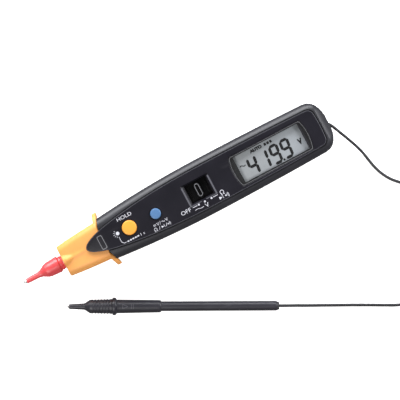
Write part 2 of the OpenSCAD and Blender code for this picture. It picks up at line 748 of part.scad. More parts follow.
// Buttons: a crowned cap with a flange under the plate, the plunger it presses, and the switch round that
flange_top_z = plate_z - gap;
stem_show = 0.7;
stem_z = plate_z - gap - button_flange - stem_show;
key_top_z = stem_z - button_travel - key_room;
key_height = key_top_z - board_top_z;
plunger_floor_z = board_top_z + key_height * 0.3125;
plunger_z = plunger_floor_z + button_travel + gap;
crown_drop_share = 0.06;
edge_round = 0.6;
module button_cap(diameter) rotate_extrude() polygon([
  [0, stem_z], [key_plunger_diameter / 2 + gap, stem_z],
  [key_plunger_diameter / 2 + gap, flange_top_z - button_flange],
  [diameter / 2 + button_lip, flange_top_z - button_flange], [diameter / 2 + button_lip, flange_top_z],
  [diameter / 2, flange_top_z],
  for (a = [0:30:90]) [
    diameter / 2 - edge_round * (1 - cos(a)),
    face_z + button_proud - diameter * crown_drop_share / 2 - edge_round * (1 - sin(a))
  ],
  [diameter / 4, face_z + button_proud - diameter * crown_drop_share / 8],
  [0, face_z + button_proud]
]);
module key_plunger() translate([0, 0, plunger_z]) cylinder(h = stem_z - plunger_z, d = key_plunger_diameter);
module key_switch() difference() {
  centred(key_side, key_side, board_top_z, key_top_z);
  translate([0, 0, plunger_floor_z]) cylinder(h = key_height, d = key_plunger_diameter + 2 * thread_gap);
}
module hold_button() color([0.95, 0.74, 0.38]) at_hold(0) button_cap(hold_diameter);
module hold_plunger() color([0.8, 0.8, 0.78]) at_hold(0) key_plunger();
module hold_key_switch() color(steel_grey) at_hold(0) key_switch();
module select_button() color([0.41, 0.58, 0.76]) at_select(0) button_cap(select_diameter);
module select_plunger() color([0.8, 0.8, 0.78]) at_select(0) key_plunger();
module select_key_switch() color(steel_grey) at_select(0) key_switch();

// Slide switch: plate under the case's own plate, thumb ridge with a pointer, and a wiper below
pointer_width = 1.4;
wiper_thickness = 0.3;
wiper_lift = 0.1;
module switch_slide() color([0.07, 0.07, 0.08]) at_switch(0) {
  difference() {
    union() {
      centred(slide_length, 2 * slide_half, slide_z, slide_top_z);
      centred(ridge_length, ridge_length, wiper_z, slide_z + gap);
    }
    for (side = [-1, 1]) translate([side * ridge_width * 1.4, 0, slide_top_z])
      cube([ridge_width / 3, ridge_length, slide_thickness], center = true);
  }
  translate([0, 0, slide_top_z - gap]) linear_extrude(face_z - slide_top_z + gap) rotate([0, 0, 90])
    stadium(ridge_length, ridge_width);
  block([-pointer_width / 2, -window_width / 2 + run_gap, slide_top_z - gap],
    [pointer_width / 2, pointer_width / 2 - ridge_length / 2, seat_z]);
}
module switch_wiper() color(brass_gold) at_switch(0) {
  centred(ridge_length, ridge_length, wiper_z - wiper_thickness, wiper_z);
  for (side = [-1, 0, 1]) translate([0, side * ridge_length / 3, 0]) side_slab(ridge_length / 6, [
    [-ridge_length / 2, wiper_z - wiper_thickness / 2], [-ridge_length / 2, wiper_z - 2 * wiper_thickness],
    [-wiper_thickness, board_top_z + wiper_lift], [wiper_thickness, board_top_z + wiper_lift],
    [ridge_length / 2, wiper_z - 2 * wiper_thickness], [ridge_length / 2, wiper_z - wiper_thickness / 2],
    [0, board_top_z + wiper_lift + 1.5 * wiper_thickness]
  ]);
}

// Nose guard: tapered sleeve, finger flange, and the swelling over the lamp
nose_steps = 6;
lamp_swelling = 3.2;
nose_top_bend = (seat_z - gap - tongue_slope * (front_x - nose_x) - nose_front_rise - nose_front_height)
  / pow(tongue_x - nose_x, 2);
function nose_top(x) = seat_z - gap - tongue_slope * (front_x - x)
  - nose_top_bend * pow(max(0, tongue_x - x), 2);
function nose_half(x) = let(s = (x - nose_x) / nose_length)
  nose_front_width / 2 + (nose_rear_width - nose_front_width) / 2 * s * (1.5 - 0.5 * s);
function nose_section(x) = section(nose_half(x), nose_front_rise - gap * (x - nose_x) / nose_length,
  nose_top(x), nose_edge_radius, nose_edge_radius, quarter);
collar_flange_radius = collar_diameter * 0.605;
flange_rim_rise = 0.4;
flange_step = 1.1;
flange_top_z_outer = seat_z - flange_step;
flange_radius = 8;
module nose_guard() color(soft_orange) difference() {
  union() {
    loft([
      for (k = [0:nose_steps])
        let(x = nose_x + (front_x - nose_x) * k / nose_steps)
          at_x(x, nose_section(x))
    ]);
    intersection() {
      linear_extrude(case_height) polygon(concat(
        flange_line(0, flange_width / 2),
        [for (k = [3:-1:0]) flange_line(-flange_thickness, flange_width / 2)[k]]
      ));
      beam(nose_x, nose_length + flange_width, section(flange_width / 2, flange_rim_rise, flange_top_z_outer,
        flange_radius, flange_radius, quarter));
    }
    translate([0, 0, lamp_z]) rod(nose_x, nose_length / 2, lamp_swelling);
  }
  beam(neck_x, nose_length, section(neck_width / 2 + seat_gap, neck_z - seat_gap,
    neck_z + neck_height + seat_gap, neck_radius + seat_gap, neck_radius + seat_gap, inner_quarter));
  block([nose_x + nose_wall, -neck_width / 2 + neck_wall, pin_height - collar_flange_radius - gap],
    [neck_x + over, neck_width / 2 - neck_wall, pin_height + collar_flange_radius + gap]);
  block([nose_x + 2 * nose_wall, -lamp_diameter / 2, pin_height],
    [neck_x + over, lamp_diameter / 2, lamp_z + lamp_diameter / 3]);
  translate([0, 0, pin_height]) rod(nose_x - over, nose_wall + 2 * over, collar_diameter / 2 + gap);
  translate([0, 0, lamp_z]) rod(nose_x - over, 2 * nose_wall + 2 * over, lamp_diameter / 2 + gap);
}

// Test point: the pin, the collar that holds it, its cap, and the strip to the board
spigot_step = 1.6;
tube_step = 1.2;
pin_reach = 3;
spigot_diameter = collar_diameter - spigot_step;
collar_tube_diameter = collar_diameter - tube_step;
pin_rear_x = neck_x + neck_wall + pin_reach;
fit_gap = 0.02;
strip_thickness = 0.5;
module at_pin() translate([0, 0, pin_height]) children();
module test_pin() color(steel_grey) at_pin() {
  bar(tip_x, pin_point_length, pin_diameter / 8, pin_diameter / 2);
  rod(tip_x + pin_point_length, pin_rear_x - tip_x - pin_point_length, pin_diameter / 2);
}
module pin_collar() color(probe_red) at_pin() difference() {
  union() {
    rod(collar_x - cap_socket_depth, cap_socket_depth, spigot_diameter / 2);
    rod(collar_x, collar_show + nose_wall, collar_diameter / 2);
    rod(nose_x + nose_wall, nose_wall, collar_flange_radius);
    rod(nose_x + 2 * nose_wall, neck_x - nose_x - 2 * nose_wall, collar_tube_diameter / 2);
  }
  rod(collar_x - cap_socket_depth - over, neck_x - collar_x + cap_socket_depth + 2 * over,
    pin_diameter / 2 + fit_gap);
}
module pin_strip() color(brass_gold) {
  block([pin_rear_x, -pin_diameter, pin_height - pin_diameter / 2],
    [pin_rear_x + strip_thickness, pin_diameter, board_z]);
  block([pin_rear_x, -pin_diameter, board_z - strip_thickness],
    [board_x + pin_diameter, pin_diameter, board_z]);
}
// Hollow cap over a pin, its thin front first
module probe_cap(thin, thin_diameter, cone, body, body_front, body_rear, bore, socket, depth) difference() {
  union() {
    bar(0, thin, thin_diameter / 2 - gap, thin_diameter / 2);
    bar(thin, cone, thin_diameter / 2, body_front / 2);
    bar(thin + cone, body, body_front / 2, body_rear / 2);
  }
  rod(-over, thin + cone + body, bore / 2);
  rod(thin + cone + body - depth - gap, depth + over, socket / 2);
}
module tip_cap() color(probe_red) translate([cap_x, 0, pin_height]) probe_cap(
  cap_thin_length, cap_thin_diameter, cap_cone_length, cap_body_length, cap_diameter - cap_taper,
  cap_diameter, pin_diameter + 2 * gap, spigot_diameter + 2 * thread_gap, cap_socket_depth
);

// Lamp over the pin, with its two leads to the board
lamp_length = 4.6;
lamp_lead_spacing = 1.3;
module lamp_lead_places() for (side = [-1, 1]) translate([0, side * lamp_lead_spacing / 2, lamp_z])
  children();
module nose_lamp() color([0.95, 0.96, 0.98]) translate([0, 0, lamp_z]) {
  bar(nose_x - 3 * gap, 5 * gap, lamp_diameter / 3, lamp_diameter / 2);
  rod(nose_x + 2 * gap, lamp_length, lamp_diameter / 2);
}
module lamp_leads() color(steel_grey) lamp_lead_places() rod(nose_x + 2 * gap + lamp_length,
  board_x + lamp_diameter / 2 - nose_x - lamp_length, lamp_lead_radius);

// Coin cell, its holder under the board, and its two contacts
holder_inner_radius = cell_diameter / 2 + seat_gap;
holder_roof_z = cell_z + cell_thickness + gap;
leg_diameter = 2.4;
cell_rim = 1.2;
contact_thickness = 0.4;
contact_width = 4;
module at_cell(z) translate([cell_x, 0, z]) children();
module coin_cell() color(steel_grey) at_cell(cell_z) {
  cylinder(h = cell_thickness * 0.8, d = cell_diameter);
  cylinder(h = cell_thickness, d = cell_diameter - 2 * cell_rim);
}
module cell_holder() color([0.3, 0.3, 0.32]) at_cell(0) {
  difference() {
    translate([0, 0, bridge_z + 5 * gap])
      cylinder(h = holder_roof_z + cell_ring - bridge_z - 5 * gap, r = holder_inner_radius + cell_ring);
    translate([0, 0, -over]) cylinder(h = holder_roof_z + over, r = holder_inner_radius);
    cylinder(h = board_z, r = contact_width);
    translate([holder_inner_radius - cell_ring, -contact_width / 2 - gap, 0])
      cube([3 * cell_ring, contact_width + 2 * gap, board_z]);
  }
  for (a = [45:90:315]) rotate([0, 0, a])
    translate([holder_inner_radius - leg_diameter, 0, holder_roof_z + cell_ring / 2])
      cylinder(h = board_z - holder_roof_z - cell_ring / 2, d = leg_diameter);
}
module cell_plus_contact() color(brass_gold) at_cell(0)
  translate([cell_diameter / 2 + fit_gap, -contact_width / 2, cell_z + gap])
    cube([contact_thickness, contact_width, board_z - cell_z - gap]);
module cell_minus_contact() color(brass_gold) at_cell(cell_z + cell_thickness + fit_gap) {
  cylinder(h = contact_thickness, d = contact_width);
  cylinder(h = board_z - cell_z - cell_thickness - fit_gap, d = contact_width / 4);
}

// Cord's way in: bush in the end wall, stop inside it, and the tail to the board
module cord_bush() color(cord_black) at_cord() difference() {
  union() {
    rod(cavity_end_x - gap, bush_front_x - cavity_end_x + gap, cord_radius + bush_wall - fit_gap);
    rod(cavity_end_x - gap - bush_flange, bush_flange, cord_radius + 2 * bush_wall);
  }
  rod(cavity_end_x - bush_flange - over, bush_front_x - cavity_end_x + bush_flange + 2 * over,
    cord_radius + fit_gap);
}
module cord_stop() color(steel_grey) at_cord() difference() {
  rod(cavity_end_x - gap - bush_flange - cord_diameter, cord_diameter, cord_radius + bush_wall);
  rod(cavity_end_x - bush_flange - cord_diameter - over, 3 * cord_diameter, cord_radius + fit_gap);
}
module cord_tail() color(cord_black) at_cord() {
  rod(tail_x, bush_front_x - tail_x, cord_radius);
  translate([tail_x + cord_radius, 0, 0]) cylinder(h = board_z - parting_height, r = cord_radius / 2);
}

// Lead probe: lies on its finger guard and its rear end, turned away from the meter
lead_ahead = 168.1;
lead_aside = 22;
lead_tip = [end_x - lead_ahead, -lead_aside];
lead_turn = -27.8;
lead_cap_length = lead_cap_thin_length + lead_cap_cone_length + lead_cap_body_length;
lead_guard_x = lead_tip_show + lead_cap_length;
lead_handle_x = lead_guard_x + lead_guard_thickness;
lead_sleeve_x = lead_handle_x + lead_handle_length;
lead_rear_x = lead_sleeve_x + lead_sleeve_length;
lead_bush_length = 1.1;
lead_end_x = lead_rear_x + lead_bush_length;
lead_lean = atan((lead_guard_diameter - lead_sleeve_diameter) / 2 / (lead_rear_x - lead_handle_x));
lead_tip_z = lead_guard_diameter / 2 * cos(lead_lean) + lead_handle_x * sin(lead_lean);
lead_spigot = 5.4;
lead_spigot_length = 5;
lead_pin_gap = 6;
lead_pin_rear_x = lead_sleeve_x - lead_pin_gap;
lead_socket_length = 8;
lead_cap_taper = 0.6;
ferrule_lap = 1;
ferrule_length = 5.6;
module lead_place() translate([lead_tip[0], lead_tip[1], lead_tip_z]) rotate([0, lead_lean, lead_turn])
  children();
function lead_point(x) = [
  lead_tip[0] + x * cos(lead_lean) * cos(lead_turn), lead_tip[1] + x * cos(lead_lean) * sin(lead_turn),
  lead_tip_z - x * sin(lead_lean)
];

module lead_pin() color(steel_grey) lead_place() {
  bar(0, pin_point_length, pin_diameter / 8, pin_diameter / 2);
  rod(pin_point_length, lead_pin_rear_x - pin_point_length, pin_diameter / 2);
}
module lead_cap() color(cord_black) lead_place() translate([lead_tip_show, 0, 0]) difference() {
  probe_cap(lead_cap_thin_length, cap_thin_diameter, lead_cap_cone_length, lead_cap_body_length,
    lead_cap_diameter - lead_cap_taper, lead_cap_diameter, pin_diameter + 2 * gap,
    lead_spigot + 2 * thread_gap,
    lead_spigot_length);
  for (k = [1:4]) translate([lead_cap_length - lead_cap_body_length * k / 5, 0, 0]) difference() {
    rod(-gap * 2, gap * 4, lead_cap_diameter);
    rod(-over, 2 * over, lead_cap_diameter / 2 - 4.5 * gap);
  }
}
module lead_handle() color(cord_black) lead_place() difference() {
  union() {
    rod(lead_guard_x - lead_spigot_length, lead_spigot_length, lead_spigot / 2);
    bar(lead_guard_x, lead_guard_thickness, lead_guard_diameter / 2 - gap, lead_guard_diameter / 2);
    bar(lead_handle_x, lead_handle_length, lead_handle_diameter / 2, lead_handle_rear_diameter / 2);
  }
  rod(lead_guard_x - lead_spigot_length - over, lead_rear_x, pin_diameter / 2 + fit_gap);
  rod(lead_sleeve_x - lead_socket_length, lead_socket_length + over,
    lead_sleeve_diameter / 2 - 4 * gap + fit_gap);
}
module lead_sleeve() color([0.2, 0.2, 0.21]) lead_place() difference() {
  union() {
    rod(lead_sleeve_x - lead_socket_length, lead_socket_length, lead_sleeve_diameter / 2 - 4 * gap);
    rod(lead_sleeve_x, lead_sleeve_length, lead_sleeve_diameter / 2);
  }
  rod(lead_sleeve_x - lead_socket_length - over, lead_rear_x, cord_radius + fit_gap);
  rod(lead_sleeve_x - lead_socket_length - over, lead_socket_length, cord_radius + 5 * gap);
}
module lead_ferrule() color(brass_gold) lead_place() difference() {
  rod(lead_pin_rear_x - ferrule_lap, ferrule_length, cord_radius + 4 * gap);
  rod(lead_pin_rear_x - ferrule_lap - over, ferrule_lap + over + fit_gap, pin_diameter / 2 + fit_gap);
  rod(lead_pin_rear_x + over, lead_rear_x, cord_radius + fit_gap);
}
module lead_end_bush() color(cord_black) lead_place() difference() {
  bar(lead_rear_x, lead_bush_length, lead_sleeve_diameter / 2 - 3 * gap, lead_sleeve_diameter / 2 - 5 * gap);
  rod(lead_rear_x - over, lead_bush_length + 2 * over, cord_radius + fit_gap);
}
module lead_tail() color(cord_black) lead_place()
  rod(lead_pin_rear_x + over, lead_end_x - lead_pin_rear_x - over, cord_radius);

// Coil of the cord: turns in one plane in to the middle, a layer up, and out again, held by a tie
tie_thickness = 0.5;
tie_width = 3;
tie_turn = 150;
coil_behind = 23;
coil_aside = 80;
coil_place = [end_x + coil_behind, -coil_aside];
coil_space = 0.45;
coil_pitch = cord_diameter + coil_space;
coil_angle = 360 * coil_turns + 90;
coil_rings = 24;
coil_steps = ceil(coil_angle / 360 * coil_rings);
coil_low = tie_thickness + gap + cord_radius;
coil_inner = coil_radius - coil_pitch * coil_angle / 1440;
coil_outer = coil_inner + coil_pitch * coil_angle / 720;
function coil_point(turned) = let(r = coil_inner + coil_pitch * abs(turned - coil_angle / 2) / 360) [
  coil_place[0] + r * cos(-turned), coil_place[1] + r * sin(-turned),
  coil_low + coil_pitch * min(1, max(0, (turned - coil_angle / 2 + 90) / 180))
];
coil_start = [coil_place[0] + coil_outer, coil_place[1] + cord_diameter, coil_low];
coil_end = [coil_place[0] - cord_diameter, coil_place[1] - coil_outer, coil_low + coil_pitch];
coil_route = concat(
  [coil_start], [for (k = [0:coil_steps]) coil_point(coil_angle * k / coil_steps)], [coil_end]
);
coil_own_gap = min([
  for (i = [1:coil_steps], j = [i + coil_rings / 2:coil_steps + 1]) norm(coil_route[i] - coil_route[j])
]) - cord_diameter;
echo(least_gap_between_turns = coil_own_gap);

// Free runs of the cord: from the meter to the coil, and from the coil to the probe. Each point has its
// place behind the meter's end, its place across, and its height over the surface, in the first run as a
// share of the way up to the cord's exit
meter_way = [
  [-1.4, -1, 1], [-0.5, -1.3, 1], [0.4, -2, 1], [1.1, -3.1, 0.989], [2, -5, 0.946], [3.3, -8, 0.848],
  [5, -11.8, 0.685], [6.6, -15.5, 0.478], [8.1, -19.3, 0.283], [9.4, -23.3, 0.13], [10.3, -27.5, 0.033],
  [11.2, -32, 0], [13, -37.5, 0], [16, -42.8, 0], [20.2, -47.4, 0], [25, -51.5, 0], [29.6, -56, 0],
  [33.4, -61.4, 0.011], [36, -67.6, 0.033]
];
probe_way = [
  [12.8, -95.7, 1.9], [8.2, -97.8, 1.1], [3.6, -100.4, 0.4], [-1, -103, 0], [-5, -104.8, 0],
  [-8.8, -105.2, 0], [-12.6, -103.9, 0], [-18, -101.1, 0], [-25, -97.3, 0], [-32.5, -93.3, 0],
  [-40, -89.4, 0], [-47.5, -85.5, 0], [-54.5, -81.9, 0.3], [-60.5, -78.7, 0.8]
];
meter_route = concat(
  [[bush_front_x, cord_y, parting_height]],
  [for (p = meter_way) [end_x + p[0], p[1], cord_radius + (parting_height - cord_radius) * p[2]]],
  [coil_start + [0, 3 * cord_diameter, 0], coil_start]
);
probe_route = concat(
  [coil_end, coil_end - [3 * cord_diameter, 0, 0]],
  [for (p = probe_way) [end_x + p[0], p[1], cord_radius + p[2]]],
  [lead_point(lead_end_x + 2 * cord_diameter), lead_point(lead_end_x)]
);

function unit(v) = v / norm(v);
function tangent(p, i) = unit(p[min(i + 1, len(p) - 1)] - p[max(i - 1, 0)]);
module tube(route, radius, sides) loft([
  for (i = [0:len(route) - 1])
    let(t = tangent(route, i), s = unit(cross([0, 0, 1], t)), u = cross(t, s))
      [for (k = [0:sides - 1]) let(a = 360 * (k + 0.5) / sides) route[i] + radius * (cos(a) * s + sin(a) * u)]
]);
module cord_meter_run() color(cord_black) tube(meter_route, cord_radius, 8);
module cord_probe_run() color(cord_black) tube(probe_route, cord_radius, 8);
module cord_coil() color(cord_black) tube(coil_route, cord_radius, 6);
module cord_tie() color([0.3, 0.3, 0.3]) translate([coil_place[0], coil_place[1], 0]) rotate([0, 0, tie_turn])
  difference() {
    block([coil_inner - cord_radius - 2 * gap - tie_thickness, -tie_width / 2, 0],
      [coil_outer + cord_radius + 2 * gap + tie_thickness, tie_width / 2,
        coil_low + coil_pitch + cord_radius + gap + tie_thickness]);
    block([coil_inner - cord_radius - 2 * gap, -tie_width, tie_thickness],
      [coil_outer + cord_radius + 2 * gap, tie_width, coil_low + coil_pitch + cord_radius + gap]);
  }

upper_case();
lower_case();
face_panel();
display_lens();
lcd_glass();
lcd_holder();
contact_strips();
circuit_board();
measuring_chip();
divider_resistors();
surge_limiter();
clock_crystal();
buzzer();
hold_button();
hold_plunger();
hold_key_switch();
select_button();
select_plunger();
select_key_switch();
switch_slide();
switch_wiper();
nose_guard();
pin_collar();
test_pin();
pin_strip();
tip_cap();
nose_lamp();
lamp_leads();
coin_cell();
cell_holder();
cell_plus_contact();
cell_minus_contact();
battery_cover();
cover_screw();
case_screws();
cord_bush();
cord_stop();
cord_tail();
cord_meter_run();
cord_coil();
cord_tie();
cord_probe_run();
lead_pin();
lead_cap();
lead_handle();
lead_sleeve();
lead_ferrule();
lead_end_bush();
lead_tail();
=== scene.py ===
"""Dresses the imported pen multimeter: camera, light and floor, its cord, its visible shapes and its materials.

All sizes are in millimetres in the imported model's frame: +X runs from the test point to the display end, +Z
leaves the face, and the origin lies under the meter's middle on the surface that it rests on.
"""
import json
import logging
import math
from dataclasses import dataclass, field
from enum import Enum
from typing import Callable, Iterable, Sequence

import bmesh
import bpy
import numpy as np
from mathutils import Matrix, Vector
from mathutils.geometry import convex_hull_2d, delaunay_2d_cdt

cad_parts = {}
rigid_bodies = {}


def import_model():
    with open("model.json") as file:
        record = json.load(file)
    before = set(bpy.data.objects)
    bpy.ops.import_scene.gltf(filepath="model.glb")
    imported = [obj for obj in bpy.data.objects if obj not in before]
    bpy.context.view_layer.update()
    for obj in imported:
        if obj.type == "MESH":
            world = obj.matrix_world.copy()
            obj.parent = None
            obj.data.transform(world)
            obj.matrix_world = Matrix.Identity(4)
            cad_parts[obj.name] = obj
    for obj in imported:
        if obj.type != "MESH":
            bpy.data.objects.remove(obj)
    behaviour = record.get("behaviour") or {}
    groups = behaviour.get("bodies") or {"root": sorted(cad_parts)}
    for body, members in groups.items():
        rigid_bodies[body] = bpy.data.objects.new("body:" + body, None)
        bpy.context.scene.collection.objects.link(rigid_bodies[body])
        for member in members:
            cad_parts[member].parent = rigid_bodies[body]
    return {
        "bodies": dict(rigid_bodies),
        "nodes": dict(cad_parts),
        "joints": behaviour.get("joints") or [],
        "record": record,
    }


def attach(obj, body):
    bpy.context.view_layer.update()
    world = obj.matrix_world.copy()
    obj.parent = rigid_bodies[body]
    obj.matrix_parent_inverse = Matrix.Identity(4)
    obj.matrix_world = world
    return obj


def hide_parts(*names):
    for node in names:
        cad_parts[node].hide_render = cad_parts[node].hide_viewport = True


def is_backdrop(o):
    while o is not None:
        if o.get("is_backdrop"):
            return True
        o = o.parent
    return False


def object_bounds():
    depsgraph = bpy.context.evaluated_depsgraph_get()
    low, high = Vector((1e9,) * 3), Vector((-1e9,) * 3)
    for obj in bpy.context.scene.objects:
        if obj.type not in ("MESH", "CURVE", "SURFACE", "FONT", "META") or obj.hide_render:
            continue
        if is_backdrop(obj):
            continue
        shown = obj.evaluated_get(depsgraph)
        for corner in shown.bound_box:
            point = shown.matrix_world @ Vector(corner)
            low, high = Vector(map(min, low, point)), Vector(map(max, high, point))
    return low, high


LOG = logging.getLogger("pen_multimeter")
MM = 0.001
# Distances in metres: points merged in a new piece, points merged in a copy, and a face without area
MERGE, COPY_STEP, SLIVER = 2e-7, 2e-6, 1e-8
Array = np.ndarray
WHITE = (1.0, 1.0, 1.0, 1.0)
Colour = tuple[float, float, float]
Point = tuple[float, float, float]
Flat = tuple[float, float]
Linear = tuple[float, float, float, float]


class Body(Enum):
    """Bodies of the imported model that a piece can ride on."""

    METER = "meter"
    HOLD = "hold_key"
    SELECT = "select_key"
    SLIDE = "function_slide"
    RED_CAP = "red_cap"
    BLACK_CAP = "black_cap"


def linear(colour: Colour) -> Linear:
    """Turns a colour as seen on a screen, 0 to 255, into the linear values that shaders take.

    Args:
        colour: red, green and blue from 0 to 255.

    Returns:
        Linear red, green, blue and a full alpha.
    """
    parts = np.array(colour, float) / 255
    low, high = parts / 12.92, ((parts + 0.055) / 1.055) ** 2.4
    return (*np.where(parts <= 0.04045, low, high).tolist(), 1.0)


def tinted(colour: Colour, gain: float, lift: float = 0.0) -> Linear:
    """The linear values of a colour times a gain plus a lift."""
    return linear(tuple(min(255.0, part * gain + lift) for part in colour))


# Shader graphs


class Value:
    """An output socket on which Python's operators add Math nodes."""

    def __init__(self, graph: "Graph", socket: bpy.types.NodeSocket) -> None:
        """Keeps the graph and the socket."""
        self.graph = graph
        self.socket = socket

    def _math(self, operation: str, *others: "Value | float", flip: bool = False) -> "Value":
        """Adds one Math node for the operation, with the operands flipped for a reflected form.

        Args:
            operation: the node's operation.
            others: the other operands.
            flip: whether this value comes last.

        Returns:
            The result.
        """
        operands = [self, *others]
        if flip:
            operands.reverse()
        return self.graph.node("ShaderNodeMath", {"operation": operation}, dict(enumerate(operands)))

    def __add__(self, other: "Value | float") -> "Value":
        """Adds."""
        return self._math("ADD", other)

    __radd__ = __add__

    def __sub__(self, other: "Value | float") -> "Value":
        """Subtracts the other."""
        return self._math("SUBTRACT", other)

    def __rsub__(self, other: float) -> "Value":
        """Is subtracted from the other."""
        return self._math("SUBTRACT", other, flip=True)

    def __mul__(self, other: "Value | float") -> "Value":
        """Multiplies."""
        return self._math("MULTIPLY", other)

    __rmul__ = __mul__

    def most(self, other: "Value | float") -> "Value":
        """Takes the larger."""
        return self._math("MAXIMUM", other)

    def ramp(self, low: float, high: float) -> "Value":
        """Rises smoothly from 0 at low to 1 at high, or falls where high is the smaller.

        Args:
            low: value that gives 0.
            high: value that gives 1.

        Returns:
            The smooth step.
        """
        settings = {"interpolation_type": "SMOOTHSTEP", "clamp": True}
        if high < low:
            return 1.0 - self.ramp(high, low)
        return self.graph.node("ShaderNodeMapRange", settings, {0: self, 1: low, 2: high})


class Graph:
    """One material, or the world, with the nodes that are added to it."""

    def __init__(self, name: str, world: bool = False) -> None:
        """Starts an empty material, or an empty world, of that name.

        Args:
            name: its name.
            world: whether it is the world.
        """
        self.made = (bpy.data.worlds if world else bpy.data.materials).new(name)
        self.made.use_nodes = True
        self.output = "ShaderNodeOutputWorld" if world else "ShaderNodeOutputMaterial"
        self.tree = self.made.node_tree
        self.tree.nodes.clear()
        self._coordinates: Value | None = None

    def node(self, kind: str, settings: dict | None = None, inputs: dict | None = None,
             output: int | str = 0) -> Value:
        """Adds a node, sets it, then sets or links its inputs.

        Args:
            kind: the node's type.
            settings: its settings.
            inputs: values or links by the input's name or place.
            output: the output's name or place.

        Returns:
            That output.
        """
        node = self.tree.nodes.new(kind)
        for key, setting in (settings or {}).items():
            setattr(node, key, setting)
        for key, given in (inputs or {}).items():
            if isinstance(given, Value):
                self.tree.links.new(given.socket, node.inputs[key])
            else:
                node.inputs[key].default_value = given
        return Value(self, node.outputs[output])

    @property
    def coordinates(self) -> Value:
        """The Object coordinates, in metres."""
        if self._coordinates is None:
            self._coordinates = self.node("ShaderNodeTexCoord", output="Object")
        return self._coordinates

    def noise(self, size_mm: float, detail: float = 3.0, stretch: Point = (1, 1, 1)) -> Value:
        """Adds noise from 0 to 1.

        Args:
            size_mm: how far its blotches reach across.
            detail: octaves of finer noise in it.
            stretch: scale along each axis, under one where the blotches are longer.

        Returns:
            The noise.
        """
        vector = self.coordinates
        if stretch != (1, 1, 1):
            vector = self.node("ShaderNodeMapping", {}, {0: vector, 3: stretch})
        inputs = {"Vector": vector, "Scale": 1 / (size_mm * MM), "Detail": detail}
        return self.node("ShaderNodeTexNoise", {}, inputs)

    def axis(self, name: str) -> Value:
        """One Object coordinate in millimetres."""
        part = self.node("ShaderNodeSeparateXYZ", {}, {0: self.coordinates}, name)
        return part * (1 / MM)

    def mix(self, first: Value | Sequence[float], second: Value | Sequence[float],
            factor: Value | float) -> Value:
        """Goes from the first colour at 0 to the second at 1."""
        return self.node("ShaderNodeMix", {"data_type": "RGBA"}, {0: factor, 6: first, 7: second}, 2)

    def bump(self, height: Value, depth_mm: float) -> Value:
        """Turns a height from 0 to 1 into a normal, the whole step being depth_mm deep."""
        return self.node("ShaderNodeBump", {}, {"Height": height, "Distance": depth_mm * MM, "Strength": 1.0})

    def close(self, shader: Value) -> bpy.types.Material | bpy.types.World:
        """Links the shader to the output and returns the material or world."""
        self.tree.links.new(shader.socket, self.tree.nodes.new(self.output).inputs["Surface"])
        return self.made

    def surface(self, inputs: dict) -> bpy.types.Material:
        """Ends the material with a Principled shader of these inputs."""
        return self.close(self.node("ShaderNodeBsdfPrincipled", {}, inputs))


@dataclass(frozen=True)
class Moulded:
    """Moulded plastic or rubber: fine spark-eroded grain, faint mottling, soft scuffs and dulled patches."""

    name: str
    colour: Colour
    roughness: float = 0.45
    second: Colour | None = None
    grain_mm: float = 0.28
    grain_depth: float = 0.012
    scuff: float = 0.25
    coat: float = 0.0
    specular: float = 0.5
    blotch_mm: float = 14.0
    speck_mm: float = 1.1
    stroke_mm: float = 2.4
    patch_mm: float = 9.0

    def make(self) -> bpy.types.Material:
        """Builds the material."""
        graph = Graph(self.name)
        broad = graph.noise(self.blotch_mm, 4.0)
        fine = graph.noise(self.speck_mm, 5.0)
        grain = graph.noise(self.grain_mm, 2.0)
        strokes = graph.noise(self.stroke_mm, 6.0, (0.12, 1.0, 0.6)).ramp(0.56, 0.72)
        marks = strokes * graph.noise(self.patch_mm).ramp(0.5, 0.62)
        other = linear(self.second) if self.second else tinted(self.colour, 1.1, 5)
        mottled = graph.mix(linear(self.colour), other, broad.ramp(0.3, 0.7) * 0.6 + fine * 0.35)
        worn = graph.mix(mottled, tinted(self.colour, 1.12, 16), marks * self.scuff)
        rough = self.roughness + (broad - 0.5) * 0.12 + marks * 0.14 + (grain - 0.5) * 0.08
        return graph.surface({
            "Base Color": worn, "Roughness": rough, "Coat Weight": self.coat, "Coat Roughness": 0.25,
            "Specular IOR Level": self.specular, "Normal": graph.bump(grain, self.grain_depth),
        })


@dataclass(frozen=True)
class Metal:
    """Turned or drawn metal: fine rings or drawing lines, with dulled patches and a little tarnish."""

    name: str
    colour: Colour
    roughness: float = 0.3
    stretch: Point = (1.0, 0.08, 0.08)
    tarnish: Colour = (150, 140, 125)

    def make(self) -> bpy.types.Material:
        """Builds the material."""
        graph = Graph(self.name)
        lines = graph.noise(0.12, 3.0, self.stretch)
        dull = graph.noise(3.0, 4.0).ramp(0.45, 0.7)
        colour = graph.mix(linear(self.colour), linear(self.tarnish), dull * 0.35)
        return graph.surface({
            "Base Color": colour, "Metallic": 1.0,
            "Roughness": self.roughness + dull * 0.15 + (lines - 0.5) * 0.1,
            "Normal": graph.bump(lines, 0.004),
        })


@dataclass(frozen=True)
class Jacket:
    """Soft cord jacket: matt skin with faint rings along it and dusty patches."""

    name: str
    colour: Colour
    roughness: float = 0.5

    def make(self) -> bpy.types.Material:
        """Builds the material."""
        graph = Graph(self.name)
        dust = graph.noise(6.0, 5.0).ramp(0.5, 0.75)
        skin = graph.noise(0.18, 3.0)
        rings = (graph.noise(0.5, 1.0) - 0.5) * 0.5 + skin
        colour = graph.mix(linear(self.colour), tinted(self.colour, 1.2, 14), dust * 0.5)
        return graph.surface({
            "Base Color": colour, "Roughness": self.roughness + dust * 0.15,
            "Normal": graph.bump(rings, 0.01),
        })


